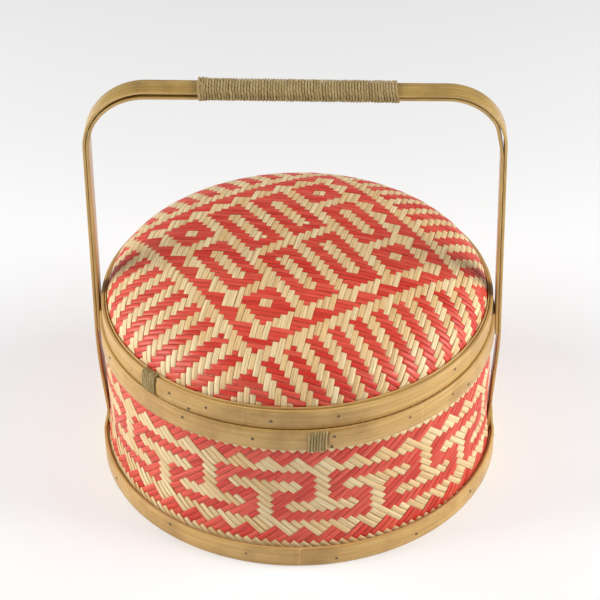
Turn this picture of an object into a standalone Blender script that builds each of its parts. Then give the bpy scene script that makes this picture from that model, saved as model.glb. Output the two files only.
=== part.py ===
"""Round food basket woven from bamboo, with a domed lid and a tall handle of two nested strips.

Lengths are in metres. The origin lies under the middle of the basket, on the surface that it stands on. +Z is
up, the handle stands in the XZ plane, and -Y is the front. Every hoop and shell has the same number of flats,
with a corner at +X, so that nested rings keep an even clearance.
"""

import math

import bmesh
import bpy
import numpy as np
from mathutils import Vector

# Fits and facets
GAP = 0.0003  # between pieces that touch
OVERRUN = 0.002  # of a cutter past what it cuts
WELD = 0.00001  # distance within which points are one
FLATS = 56  # round every hoop and shell
EDGE = 0.0004  # chamfer along the bamboo strips
STRIP_EDGE = 0.0003  # chamfer along the handle's thinner strips

# Woven bin
WALL_RADIUS = 0.1365  # outer
WALL_THICKNESS = 0.0016
WALL_FOOT = 0.0010  # height of its lower edge
WALL_REBATE = 0.0002  # of its upper edge below the rim
FLOOR_THICKNESS = 0.0014
SLAT_WIDTH = 0.018
SLAT_THICKNESS = 0.0025
SLAT_SPACING = 0.060

# Hoops of the bin
RIM_TOP = 0.1166
RIM_HEIGHT = 0.0160
RIM_THICKNESS = 0.0024
INNER_RIM_THICKNESS = 0.0025
COLLAR_THICKNESS = 0.0016
COLLAR_STAND = 0.0084  # above the rim
COLLAR_DEPTH = 0.0206  # below the rim
BASE_HEIGHT = 0.0154
BASE_THICKNESS = 0.0022
BAND_FOOT = 0.0005  # height of the base bands' lower edge
BAND_DROP = 0.0008  # of their upper edge below the base hoop's
BAND_SHORTFALL = 0.0145  # between a band's end and the leg beside it
INNER_BASE_THICKNESS = 0.0022
INNER_BASE_TOP = 0.0057

# Lid
LID_HOOP_HEIGHT = 0.0149
LID_HOOP_THICKNESS = 0.0024
LID_CLEARANCE = 0.0003  # between dome and collar
EDGE_BAND_THICKNESS = 0.0009
EDGE_BAND_STAND = 0.0014  # above the lid hoop
LID_INNER_THICKNESS = 0.0018
LID_INNER_HEIGHT = 0.0065
DOME_THICKNESS = 0.0013
DOME_RISE = 0.042
DOME_SINK = 0.003  # of the dome's spring line below the lid hoop's upper edge
DOME_EXPONENT = 2.4  # 2 is an ellipse, more is a flatter crown
DOME_STEPS = 9

# Lashings and overlaps of the rim hoop and the lid hoop
LASHING_CORD = 0.0016
LASHING_PITCH = 0.0021
LASHING_LOOPS = 6
RIM_LASHING_ANGLE = math.radians(-82.8)
LID_LASHING_ANGLE = math.radians(-134.4)
LAP_STEP = 0.0010  # height of the overlapping end
LAP_LENGTH = 0.070
LAP_OFFSET = 0.0014  # between a lashing and the overlapping end

# Handle
HANDLE_HEIGHT = 0.295  # top of the bare bar
STRIP_WIDTH = 0.016
STRIP_THICKNESS = 0.0020
STRIP_FOOT = 0.0010  # height of the feet
SHOULDER_RADIUS = 0.036  # outer strip
INNER_SHOULDER_RADIUS = 0.038  # wider than a snug fit, so the strips part at the shoulders
SHOULDER_STEPS = 8
HANDLE_CLEARANCE = 0.0006  # between lid hoop and inner strip at the shoulders
INNER_STRIP_DROP = 0.0022  # of its ends below the rim hoop
LEAN_SHARES = ((0.0, 0.0), (0.35, 0.38), (0.65, 0.70), (0.88, 0.93), (1.0, 1.0))

# Grip: one flat strand of the model stands for three turns of cord
GRIP_LENGTH = 0.132
GRIP_CORD = 0.0018
GRIP_STRAND = 0.0049
GRIP_LOOPS = 24

# Radii from the wall inwards
WALL_INNER = WALL_RADIUS - WALL_THICKNESS
LINING_OUTER = WALL_INNER - GAP
INNER_RIM_INNER = LINING_OUTER - INNER_RIM_THICKNESS
COLLAR_OUTER = INNER_RIM_INNER - GAP
DOME_INNER = COLLAR_OUTER + LID_CLEARANCE
DOME_OUTER = DOME_INNER + DOME_THICKNESS
EDGE_BAND_INNER = DOME_OUTER + GAP
EDGE_BAND_OUTER = EDGE_BAND_INNER + EDGE_BAND_THICKNESS
LID_HOOP_INNER = EDGE_BAND_OUTER + GAP
LID_HOOP_OUTER = LID_HOOP_INNER + LID_HOOP_THICKNESS
LID_INNER_OUTER = COLLAR_OUTER - GAP

# Radii from the wall outwards
RIM_INNER = WALL_RADIUS + GAP
RIM_OUTER = RIM_INNER + RIM_THICKNESS

# Heights
RIM_FOOT = RIM_TOP - RIM_HEIGHT
WALL_TOP = RIM_TOP - WALL_REBATE
COLLAR_TOP = RIM_TOP + COLLAR_STAND
LID_FOOT = RIM_TOP + GAP
LID_HOOP_TOP = LID_FOOT + LID_HOOP_HEIGHT
DOME_SPRING = LID_HOOP_TOP - DOME_SINK
LID_INNER_FOOT = COLLAR_TOP + GAP
FLOOR_UNDERSIDE = INNER_BASE_TOP + GAP
SHOULDER_HEIGHT = HANDLE_HEIGHT - SHOULDER_RADIUS
INNER_STRIP_FOOT = RIM_FOOT - INNER_STRIP_DROP

# Inner face of the handle's outer strip, as distances from the middle
FOOT_FACE = WALL_RADIUS + GAP
RIM_FACE = RIM_OUTER + GAP + STRIP_THICKNESS + GAP
SHOULDER_FACE = LID_HOOP_OUTER + HANDLE_CLEARANCE + STRIP_THICKNESS + GAP

PART = "bamboo_food_basket"
HONEY = (0.66, 0.46, 0.21)
PALE_HONEY = (0.72, 0.53, 0.27)
TAN = (0.58, 0.37, 0.16)
CORAL = (0.78, 0.13, 0.09)
STRAW = (0.76, 0.66, 0.36)
KHAKI = (0.48, 0.36, 0.18)


def clear_scene():
    """Remove every object and make the collections for the parts and for the cutters."""
    for obj in list(bpy.data.objects):
        bpy.data.objects.remove(obj, do_unlink=True)
    for name in (PART, "cutters"):
        collection = bpy.data.collections.new(name)
        bpy.context.scene.collection.children.link(collection)
    bpy.data.collections["cutters"].hide_render = True


def bamboo_material(name, colour, roughness):
    """Return a plain material of one colour."""
    material = bpy.data.materials.new(name)
    material.use_nodes = True
    shader = material.node_tree.nodes["Principled BSDF"]
    shader.inputs["Base Color"].default_value = (*colour, 1.0)
    shader.inputs["Roughness"].default_value = roughness
    material.diffuse_color = (*colour, 1.0)
    return material


def add_part(name, data, colour, roughness=0.6):
    """Put a piece of the basket in the scene, with a material of its own."""
    obj = bpy.data.objects.new(name, data)
    data.materials.append(bamboo_material(name, colour, roughness))
    bpy.data.collections[PART].objects.link(obj)
    return obj


def add_cutter(name, data):
    """Put a cutting shape in the scene, as a wire that isn't rendered."""
    obj = bpy.data.objects.new(name, data)
    obj.hide_render = True
    obj.display_type = "WIRE"
    bpy.data.collections["cutters"].objects.link(obj)
    return obj


def box_cutter(name, low, high, angle=0.0):
    """Return a box between two corners, turned about the vertical axis."""
    mesh = bpy.data.meshes.new(name)
    work = bmesh.new()
    bmesh.ops.create_cube(work, size=1.0)
    low, high = Vector(low), Vector(high)
    bmesh.ops.scale(work, vec=high - low, verts=work.verts)
    bmesh.ops.translate(work, vec=(low + high) / 2, verts=work.verts)
    work.to_mesh(mesh)
    work.free()
    obj = add_cutter(name, mesh)
    obj.rotation_euler.z = angle
    return obj


def disc_cutter(name, radius, low, high):
    """Return an upright disc with the same flats as the hoops."""
    mesh = bpy.data.meshes.new(name)
    work = bmesh.new()
    bmesh.ops.create_cone(
        work, cap_ends=True, segments=FLATS, radius1=radius, radius2=radius, depth=high - low
    )
    bmesh.ops.translate(work, vec=(0, 0, (low + high) / 2), verts=work.verts)
    work.to_mesh(mesh)
    work.free()
    return add_cutter(name, mesh)


def cut(obj, cutter, operation="DIFFERENCE"):
    """Cut one piece with a cutting shape."""
    modifier = obj.modifiers.new(cutter.name, "BOOLEAN")
    modifier.operation = operation
    modifier.object = cutter


def turned(name, profile, colour, roughness=0.6):
    """Turn a closed profile of (radius, height) points about the vertical axis.

    The profile runs down its outer side. Where its first and last points lie on the axis, it stays open there.
    """
    count = len(profile)
    edges = [(i, (i + 1) % count) for i in range(count)]
    if profile[0][0] == 0:
        edges.pop()
    mesh = bpy.data.meshes.new(name)
    mesh.from_pydata([(radius, 0.0, height) for radius, height in profile], edges, [])
    obj = add_part(name, mesh, colour, roughness)
    screw = obj.modifiers.new("Turn", "SCREW")
    screw.axis = "Z"
    screw.steps = FLATS
    screw.render_steps = FLATS
    screw.use_merge_vertices = True
    screw.merge_threshold = WELD
    screw.use_smooth_shade = True
    return obj


def ring_profile(inner, outer, low, high, edge=0.0):
    """Return the section of a hoop, with the edges of its outer face chamfered."""
    if not edge:
        return [(outer, high), (outer, low), (inner, low), (inner, high)]
    return [
        (outer - edge, high), (outer, high - edge), (outer, low + edge), (outer - edge, low),
        (inner, low), (inner, high),
    ]


def flat_radius(radius, angle):
    """Return how far the flats of a hoop lie from the axis at an angle, for a radius over its corners."""
    step = math.tau / FLATS
    return radius * math.cos(step / 2) / math.cos(angle % step - step / 2)


def hoop_point(radius, angle, height=None):
    """Return the point on the flats of a hoop at an angle."""
    reach = flat_radius(radius, angle)
    point = (reach * math.cos(angle), reach * math.sin(angle))
    return point if height is None else (*point, height)


def outline_object(name, loops, thickness, edge, colour):
    """Fill flat closed outlines and extrude them to a thickness, with chamfered edges, as a mesh object."""
    curve = bpy.data.curves.new(name, "CURVE")
    curve.dimensions = "2D"
    curve.fill_mode = "BOTH"
    curve.extrude = thickness / 2 - edge
    curve.bevel_depth = edge
    curve.bevel_resolution = 0
    curve.offset = -edge
    for loop in loops:
        spline = curve.splines.new("POLY")
        spline.points.add(len(loop) - 1)
        for point, (x, y) in zip(spline.points, loop):
            point.co = (x, y, 0.0, 1.0)
        spline.use_cyclic_u = True
    source = bpy.data.objects.new(name, curve)
    bpy.context.scene.collection.objects.link(source)
    bpy.context.view_layer.update()
    mesh = bpy.data.meshes.new_from_object(source.evaluated_get(bpy.context.evaluated_depsgraph_get()))
    bpy.data.objects.remove(source, do_unlink=True)
    work = bmesh.new()
    work.from_mesh(mesh)
    bmesh.ops.remove_doubles(work, verts=work.verts, dist=WELD)
    bmesh.ops.recalc_face_normals(work, faces=work.faces)
    work.to_mesh(mesh)
    work.free()
    mesh.shade_smooth()
    mesh.set_sharp_from_angle(angle=math.radians(30))
    return add_part(name, mesh, colour)


def lashing_span():
    """Return the width of a lashing along its hoop."""
    return (LASHING_LOOPS - 1) * LASHING_PITCH + LASHING_CORD


def lapped_hoop(name, inner, outer, low, high, lashing_angle, colour):
    """Make a hoop whose outer end lies over the inner one beside its lashing and tapers away."""
    start = lashing_angle + (lashing_span() / 2 + LAP_OFFSET) / outer
    sweep = LAP_LENGTH / outer
    step = math.tau / FLATS
    corners = [step * math.ceil(start / step + i) for i in range(FLATS)]
    face = [hoop_point(outer, start), hoop_point(outer + LAP_STEP, start)]
    for angle in corners:
        if abs(angle - start) * outer > EDGE and abs(angle - start - math.tau) * outer > EDGE:
            rise = LAP_STEP * max(0.0, 1 - (angle - start) / sweep)
            face.append(hoop_point(outer + rise, angle))
    bore = [hoop_point(inner, angle) for angle in corners]
    obj = outline_object(name, (face, bore), high - low, EDGE, colour)
    obj.location.z = (low + high) / 2
    return obj


def rounded_loop(half_width, half_height, corner):
    """Return the points of one turn round a rectangle, as (across, up, share of the turn).

    The turn starts in the middle of the lower side. Its corners are arcs of three points.
    """
    points = [(0.0, -half_height)]
    for quarter in range(4):
        side = (1, 1, -1, -1)[quarter]
        top = (-1, 1, 1, -1)[quarter]
        for third in range(3):
            angle = math.radians(45) * third + math.radians(90) * (quarter - 1)
            across = side * (half_width - corner) + corner * math.cos(angle)
            up = top * (half_height - corner) + corner * math.sin(angle)
            points.append((across, up))
        if quarter == 1:
            points.append((0.0, half_height))
    lengths = [math.dist(points[i], points[(i + 1) % len(points)]) for i in range(len(points))]
    travelled = [sum(lengths[:i]) / sum(lengths) for i in range(len(points))]
    return [(across, up, share) for (across, up), share in zip(points, travelled)]


def cord_object(name, points, diameter, colour):
    """Make one unbroken cord through points, with six sides."""
    curve = bpy.data.curves.new(name, "CURVE")
    curve.dimensions = "3D"
    curve.twist_mode = "MINIMUM"
    curve.bevel_depth = diameter / 2
    curve.bevel_resolution = 1
    curve.use_fill_caps = True
    spline = curve.splines.new("POLY")
    spline.points.add(len(points) - 1)
    for point, place in zip(spline.points, points):
        point.co = (*place, 1.0)
    return add_part(name, curve, colour, roughness=0.9)


def print_least_gap(obj, loops):
    """Print the least distance between the surfaces of turns that lie next to each other."""
    bpy.context.view_layer.update()
    mesh = bpy.data.meshes.new_from_object(obj.evaluated_get(bpy.context.evaluated_depsgraph_get()))
    surface = np.array([obj.matrix_world @ vertex.co for vertex in mesh.vertices])
    bpy.data.meshes.remove(mesh)
    turn = len(surface) // loops
    least = min(
        np.linalg.norm(surface[i + turn // 2:i + 2 * turn] - surface[i], axis=1).min()
        for i in range(len(surface) - turn)
    )
    print(f"{obj.name}: least gap to itself {1000 * least:.2f} mm")


def lashing(name, inner, outer, low, high, angle):
    """Wind the cord of a lashing round the section of a hoop."""
    radius = LASHING_CORD / 2
    reach = GAP + radius
    loop = rounded_loop((high - low) / 2 + reach, (outer - inner) / 2 + reach, reach)
    middle = (inner + outer) / 2
    centre = (low + high) / 2
    travel = LASHING_LOOPS * LASHING_PITCH / outer
    points = []
    for turn in range(LASHING_LOOPS):
        for along, out, share in loop:
            place = angle + travel * ((turn + share) / LASHING_LOOPS - 0.5)
            points.append(hoop_point(middle + out, place, centre + along))
    points.append(hoop_point(middle - (outer - inner) / 2 - reach, angle + travel / 2, centre))
    obj = cord_object(name, points, LASHING_CORD, KHAKI)
    print_least_gap(obj, LASHING_LOOPS)
    return obj


def lashing_slot(name, inner, outer, low, high, angle):
    """Return the cutter that makes room for a lashing between two radii and two heights."""
    half_width = lashing_span() / 2 + LASHING_CORD
    return box_cutter(name, (inner, -half_width, low), (outer, half_width, high), angle)


def make_bin():
    """Make the woven wall and floor of the bin, and the slats under the floor."""
    wall = turned("bin_wall", ring_profile(WALL_INNER, WALL_RADIUS, WALL_FOOT, WALL_TOP), CORAL)
    slot_foot = RIM_FOOT - GAP - LASHING_CORD - GAP
    slot = lashing_slot(
        "wall_slot", WALL_INNER - OVERRUN, WALL_RADIUS + OVERRUN, slot_foot, WALL_TOP + OVERRUN,
        RIM_LASHING_ANGLE,
    )
    cut(wall, slot)
    floor_top = FLOOR_UNDERSIDE + FLOOR_THICKNESS
    turned(
        "bin_floor",
        [(0, floor_top), (LINING_OUTER, floor_top), (LINING_OUTER, FLOOR_UNDERSIDE), (0, FLOOR_UNDERSIDE)],
        STRAW,
    )
    inner_base_inner = LINING_OUTER - INNER_BASE_THICKNESS
    turned(
        "base_inner_hoop", ring_profile(inner_base_inner, LINING_OUTER, WALL_FOOT, INNER_BASE_TOP), HONEY
    )
    slat_foot = INNER_BASE_TOP - SLAT_THICKNESS
    disc = disc_cutter("slat_ends", inner_base_inner - GAP, slat_foot - OVERRUN, INNER_BASE_TOP + OVERRUN)
    for place, label in ((-1, "front"), (0, "middle"), (1, "rear")):
        mesh = bpy.data.meshes.new(label)
        work = bmesh.new()
        bmesh.ops.create_cube(work, size=1.0)
        bmesh.ops.scale(work, vec=(2 * WALL_RADIUS, SLAT_WIDTH, SLAT_THICKNESS), verts=work.verts)
        work.to_mesh(mesh)
        work.free()
        slat = add_part(f"floor_slat_{label}", mesh, TAN)
        slat.location = (0, place * SLAT_SPACING, INNER_BASE_TOP - SLAT_THICKNESS / 2)
        cut(slat, disc, "INTERSECT")


def base_hoop_inner():
    """Return the bore of the base hoop, which passes outside the handle's feet."""
    foot_reach = leg_face(BASE_HEIGHT) + STRIP_THICKNESS + GAP
    return math.hypot(foot_reach, STRIP_WIDTH / 2) / math.cos(math.pi / FLATS)


def make_base():
    """Make the base hoop and the two bands that fill the space behind it between the feet."""
    bore = base_hoop_inner()
    turned("base_hoop", ring_profile(bore, bore + BASE_THICKNESS, 0.0, BASE_HEIGHT, EDGE), HONEY)
    end = STRIP_WIDTH / 2 + BAND_SHORTFALL
    reach = bore + BASE_THICKNESS
    for side, label in ((1, "front"), (-1, "rear")):
        band = turned(
            f"base_band_{label}",
            ring_profile(WALL_RADIUS + GAP, bore - GAP, BAND_FOOT, BASE_HEIGHT - BAND_DROP),
            PALE_HONEY,
        )
        low = min(-side * end, side * reach)
        high = max(-side * end, side * reach)
        cut(band, box_cutter(f"{label}_band_ends", (-reach, low, -OVERRUN), (reach, high, BASE_HEIGHT)))


def make_rim():
    """Make the outer and inner rim hoops, the collar that seats the lid, and the rim lashing."""
    hoop = lapped_hoop(
        "rim_hoop", RIM_INNER, RIM_OUTER, RIM_FOOT, RIM_TOP, RIM_LASHING_ANGLE, PALE_HONEY
    )
    notch_floor = RIM_TOP - GAP - LASHING_CORD - GAP
    notch = lashing_slot(
        "rim_notch", RIM_INNER - OVERRUN, RIM_OUTER + OVERRUN, notch_floor, RIM_TOP + OVERRUN,
        RIM_LASHING_ANGLE,
    )
    cut(hoop, notch)
    lashing("rim_lashing", RIM_INNER, RIM_OUTER, RIM_FOOT, notch_floor, RIM_LASHING_ANGLE)
    turned("rim_inner_hoop", ring_profile(INNER_RIM_INNER, LINING_OUTER, RIM_FOOT, WALL_TOP), HONEY)
    turned(
        "lid_collar",
        ring_profile(COLLAR_OUTER - COLLAR_THICKNESS, COLLAR_OUTER, RIM_TOP - COLLAR_DEPTH, COLLAR_TOP, EDGE),
        HONEY,
    )


def dome_profile():
    """Return the outer and inner lines of the dome from the crown down to its spring line.

    The height over the spring line is the rise times (1 - s^2)^(1 / exponent), with s the share of the radius.
    The points lie closer together towards the spring line, where the dome bends most.
    """
    def line(share):
        angle = math.sin(share * math.pi / 2) * math.pi / 2
        return (
            DOME_OUTER * math.sin(angle),
            DOME_SPRING + DOME_RISE * math.cos(angle) ** (2 / DOME_EXPONENT),
        )

    outer, inner = [], []
    for i in range(DOME_STEPS + 1):
        share = i / DOME_STEPS
        before = line(max(0.0, share - 0.5 / DOME_STEPS))
        after = line(min(1.0, share + 0.5 / DOME_STEPS))
        run, fall = after[0] - before[0], before[1] - after[1]
        if i == 0:
            run, fall = 1.0, 0.0
        if i == DOME_STEPS:
            run, fall = 0.0, 1.0
        length = math.hypot(run, fall)
        radius, height = line(share)
        outer.append((radius, height))
        inner.append((radius - DOME_THICKNESS * fall / length, height - DOME_THICKNESS * run / length))
    return outer, inner


def make_lid():
    """Make the lid: woven dome, hoop with its lashing, edge band and inner hoop, carried by one empty."""
    outer, inner = dome_profile()
    skirt = [(DOME_OUTER, LID_FOOT), (DOME_INNER, LID_FOOT)]
    dome = turned("lid_dome", outer + skirt + inner[::-1], CORAL)
    edge_band = turned(
        "lid_edge_band",
        ring_profile(EDGE_BAND_INNER, EDGE_BAND_OUTER, LID_FOOT, LID_HOOP_TOP + EDGE_BAND_STAND),
        TAN,
    )
    hoop = lapped_hoop(
        "lid_hoop", LID_HOOP_INNER, LID_HOOP_OUTER, LID_FOOT, LID_HOOP_TOP, LID_LASHING_ANGLE, HONEY
    )
    inner_hoop = turned(
        "lid_inner_hoop",
        ring_profile(
            LID_INNER_OUTER - LID_INNER_THICKNESS, LID_INNER_OUTER, LID_INNER_FOOT,
            LID_INNER_FOOT + LID_INNER_HEIGHT,
        ),
        HONEY,
    )
    notch_top = LID_FOOT + GAP + LASHING_CORD + GAP
    slot_top = LID_HOOP_TOP + max(GAP + LASHING_CORD + GAP, EDGE_BAND_STAND + GAP)
    slot = lashing_slot(
        "lid_slot", DOME_INNER - OVERRUN, LID_HOOP_INNER, LID_FOOT - OVERRUN, slot_top, LID_LASHING_ANGLE
    )
    cut(dome, slot)
    cut(edge_band, slot)
    notch = lashing_slot(
        "lid_notch", LID_HOOP_INNER - OVERRUN, LID_HOOP_OUTER + OVERRUN, LID_FOOT - OVERRUN, notch_top,
        LID_LASHING_ANGLE,
    )
    cut(hoop, notch)
    cord = lashing("lid_lashing", LID_HOOP_INNER, LID_HOOP_OUTER, notch_top, LID_HOOP_TOP, LID_LASHING_ANGLE)
    carrier = bpy.data.objects.new("lid", None)
    carrier.location.z = LID_FOOT
    bpy.data.collections[PART].objects.link(carrier)
    bpy.context.view_layer.update()
    for piece in (dome, edge_band, hoop, inner_hoop, cord):
        piece.parent = carrier
        piece.matrix_parent_inverse = carrier.matrix_world.inverted()


def leg_face(height):
    """Return how far the outer strip's inner face stands from the middle, at a height on a leg."""
    if height < INNER_STRIP_FOOT:
        heights = [STRIP_FOOT + share * (INNER_STRIP_FOOT - STRIP_FOOT) for share, _ in LEAN_SHARES]
        faces = [FOOT_FACE + share * (RIM_FACE - FOOT_FACE) for _, share in LEAN_SHARES]
        return float(np.interp(height, heights, faces))
    return float(np.interp(height, (RIM_TOP, SHOULDER_HEIGHT), (RIM_FACE, SHOULDER_FACE)))


def strip_side(foot, top, radius, clearance):
    """Return one side of a nested strip as points from its foot, round the shoulder, to the bar.

    The strip's outer face lies the clearance inside leg_face, and its bar's upper face lies at top.
    """
    shoulder = top - radius
    heights = [STRIP_FOOT + share * (INNER_STRIP_FOOT - STRIP_FOOT) for share, _ in LEAN_SHARES]
    heights = [foot] + [height for height in heights if height > foot] + [RIM_TOP]
    outer = [(leg_face(height) - clearance, height) for height in heights]
    centre = leg_face(shoulder) - clearance - radius
    for i in range(SHOULDER_STEPS + 1):
        angle = i / SHOULDER_STEPS * math.pi / 2
        outer.append((centre + radius * math.cos(angle), shoulder + radius * math.sin(angle)))
    inner = [(x - STRIP_THICKNESS, z) for x, z in outer[:len(heights)]]
    small = radius - STRIP_THICKNESS
    for i in range(SHOULDER_STEPS + 1):
        angle = i / SHOULDER_STEPS * math.pi / 2
        inner.append((centre + small * math.cos(angle), shoulder + small * math.sin(angle)))
    return outer, inner


def handle_strip(name, foot, top, radius, clearance, colour):
    """Make one bent strip of the handle, from foot to foot."""
    outer, inner = strip_side(foot, top, radius, clearance)
    outline = outer + [(-x, z) for x, z in reversed(outer)] + [(-x, z) for x, z in inner] + inner[::-1]
    obj = outline_object(name, (outline,), STRIP_WIDTH, STRIP_EDGE, colour)
    obj.rotation_euler.x = math.radians(90)
    return obj


def make_handle():
    """Make the two nested strips and the cord wound round their bar."""
    handle_strip(
        "handle_outer_strip", STRIP_FOOT, HANDLE_HEIGHT, SHOULDER_RADIUS, -STRIP_THICKNESS, HONEY
    )
    inner_top = HANDLE_HEIGHT - STRIP_THICKNESS - GAP
    handle_strip("handle_inner_strip", INNER_STRIP_FOOT, inner_top, INNER_SHOULDER_RADIUS, GAP, PALE_HONEY)
    underside = inner_top - STRIP_THICKNESS
    reach = GAP + GRIP_CORD / 2
    centre = (HANDLE_HEIGHT + underside) / 2
    loop = rounded_loop(STRIP_WIDTH / 2 + reach, (HANDLE_HEIGHT - underside) / 2 + reach, reach)
    stretch = GRIP_STRAND / GRIP_CORD
    length = GRIP_LENGTH - GRIP_STRAND
    points = []
    for turn in range(GRIP_LOOPS):
        for across, up, share in loop:
            along = length * ((turn + share) / GRIP_LOOPS - 0.5)
            points.append((across, up, along / stretch))
    points.append((0.0, loop[0][1], length / stretch / 2))
    grip = cord_object("grip_wrap", points, GRIP_CORD, KHAKI)
    grip.data.twist_mode = "Z_UP"
    grip.location.z = centre
    grip.rotation_euler = (math.radians(90), 0.0, math.radians(90))
    grip.scale.z = stretch
    print_least_gap(grip, GRIP_LOOPS)


def main():
    """Build every piece of the basket."""
    clear_scene()
    make_bin()
    make_base()
    make_rim()
    make_lid()
    make_handle()


main()
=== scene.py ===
"""Dressed model of a round bamboo food basket with a domed lid and a tall handle.

The bin and the lid are woven from flat bamboo splints in two colours. Every splint is a strip of its own
that passes over and under the splints that cross it, and the pattern follows from the rule that says which
colour lies on top in each cell. Bent bamboo hoops hold the rims, and the handle is two nested strips with a
jute winding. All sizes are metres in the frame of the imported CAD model.
"""

import logging
import math
import random
from collections.abc import Callable, Sequence
from dataclasses import dataclass, field
from enum import Enum

import bmesh
import bpy
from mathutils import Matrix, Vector


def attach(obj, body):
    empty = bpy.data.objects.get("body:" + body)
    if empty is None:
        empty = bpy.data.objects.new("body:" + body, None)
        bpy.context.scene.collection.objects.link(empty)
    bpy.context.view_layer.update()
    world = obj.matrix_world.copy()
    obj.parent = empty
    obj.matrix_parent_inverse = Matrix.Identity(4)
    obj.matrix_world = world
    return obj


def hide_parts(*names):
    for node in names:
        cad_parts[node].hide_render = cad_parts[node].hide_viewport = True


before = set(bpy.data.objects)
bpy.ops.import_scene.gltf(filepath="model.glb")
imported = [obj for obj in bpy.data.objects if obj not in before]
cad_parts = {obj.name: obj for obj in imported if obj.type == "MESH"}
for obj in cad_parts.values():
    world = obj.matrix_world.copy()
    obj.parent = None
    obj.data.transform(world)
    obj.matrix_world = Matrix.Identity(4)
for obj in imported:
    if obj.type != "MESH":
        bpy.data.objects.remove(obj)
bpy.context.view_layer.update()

LOG = logging.getLogger("basket")
MM = 0.001
FULL_TURN = 2 * math.pi

Place = Callable[[float, float], tuple[Vector, Vector]]
Section = list[Vector]


class Body(Enum):
    """The two bodies of the CAD model."""

    BASKET = "basket"
    LID = "lid"


class Splint(Enum):
    """The two families of splints in a weave."""

    NATURAL = "natural"
    DYED = "dyed"


# ---------------------------------------------------------------------------------------------------------
# Small helpers
# ---------------------------------------------------------------------------------------------------------


def linear(colour: str) -> tuple[float, float, float, float]:
    """Turn an sRGB hex colour into linear RGBA.

    Args:
        colour: Six hex digits, such as "d9c898".

    Returns:
        Red, green, blue and alpha as Blender's sockets take them.
    """
    channels = [int(colour[i:i + 2], 16) / 255 for i in (0, 2, 4)]
    red, green, blue = [c / 12.92 if c <= 0.04045 else ((c + 0.055) / 1.055) ** 2.4 for c in channels]
    return red, green, blue, 1.0


def add_node(tree: bpy.types.NodeTree, kind: str, sockets: dict[str | int, object] | None = None,
             **settings: object) -> bpy.types.Node:
    """Add a node with its settings, its socket values and its links.

    Args:
        tree: The material or Geometry Nodes tree.
        kind: The node's type name.
        sockets: Values, or output sockets to link from, by the input's name or number.
        **settings: Properties of the node.

    Returns:
        The new node.
    """
    node = tree.nodes.new(kind)
    for name, value in settings.items():
        setattr(node, name, value)
    for key, value in (sockets or {}).items():
        if isinstance(value, bpy.types.NodeSocket):
            tree.links.new(value, node.inputs[key])
        else:
            node.inputs[key].default_value = value
    return node


def blend_between(start: float, end: float, share: float) -> float:
    """Return the value a share of the way from start to end, held at both."""
    return start + (end - start) * min(max(share, 0.0), 1.0)


def link_object(name: str, mesh: bpy.types.Mesh) -> bpy.types.Object:
    """Put a mesh in the scene as a named object at the origin."""
    obj = bpy.data.objects.new(name, mesh)
    bpy.context.scene.collection.objects.link(obj)
    return obj


@dataclass(frozen=True)
class RingSize:
    """Radii and heights of one ring-shaped CAD node, in metres."""

    inner: float
    outer: float
    bottom: float
    top: float

    @property
    def middle(self) -> float:
        """Radius halfway through the ring."""
        return (self.inner + self.outer) / 2


def ring_of(node: str) -> RingSize:
    """Measure a ring-shaped CAD node on its rear half, away from the lashed ends.

    Args:
        node: Name of the CAD node.

    Returns:
        The ring's radii and heights.
    """
    corners = [v.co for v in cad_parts[node].data.vertices]
    rear = [c for c in corners if c.y > abs(c.x)]
    radii = [math.hypot(c.x, c.y) for c in rear or corners]
    return RingSize(min(radii), max(radii), min(c.z for c in corners), max(c.z for c in corners))


# ---------------------------------------------------------------------------------------------------------
# Finishes
# ---------------------------------------------------------------------------------------------------------


def start_finish(name: str) -> tuple[bpy.types.Material, bpy.types.NodeTree, bpy.types.Node]:
    """Start a material with one Principled BSDF.

    Args:
        name: What the finish is.

    Returns:
        The material, its tree and the shader node.
    """
    material = bpy.data.materials.new(name)
    material.use_nodes = True
    tree = material.node_tree
    tree.nodes.clear()
    shader = add_node(tree, "ShaderNodeBsdfPrincipled")
    add_node(tree, "ShaderNodeOutputMaterial", {"Surface": shader.outputs["BSDF"]})
    return material, tree, shader


def mixed(tree: bpy.types.NodeTree, factor: object, first: object, second: object,
          mode: str = "MIX") -> bpy.types.NodeSocket:
    """Mix two colours in a material.

    Args:
        tree: The material's tree.
        factor: Share of the second colour, a number or a socket.
        first: Colour or socket.
        second: Colour or socket.
        mode: Blend mode.

    Returns:
        The mixed colour's socket.
    """
    node = add_node(tree, "ShaderNodeMix", {0: factor, 6: first, 7: second}, data_type="RGBA", blend_type=mode)
    return node.outputs[2]


def ramped(tree: bpy.types.NodeTree, value: bpy.types.NodeSocket, low: float, high: float,
           to_low: float = 0.0, to_high: float = 1.0) -> bpy.types.NodeSocket:
    """Map a value smoothly from one range to another.

    Args:
        tree: The material's tree.
        value: Socket to read.
        low: Value that becomes to_low.
        high: Value that becomes to_high.
        to_low: Start of the result.
        to_high: End of the result.

    Returns:
        The result's socket.
    """
    node = add_node(tree, "ShaderNodeMapRange", {0: value, 1: low, 2: high, 3: to_low, 4: to_high},
                    interpolation_type="SMOOTHSTEP")
    return node.outputs[0]


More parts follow.
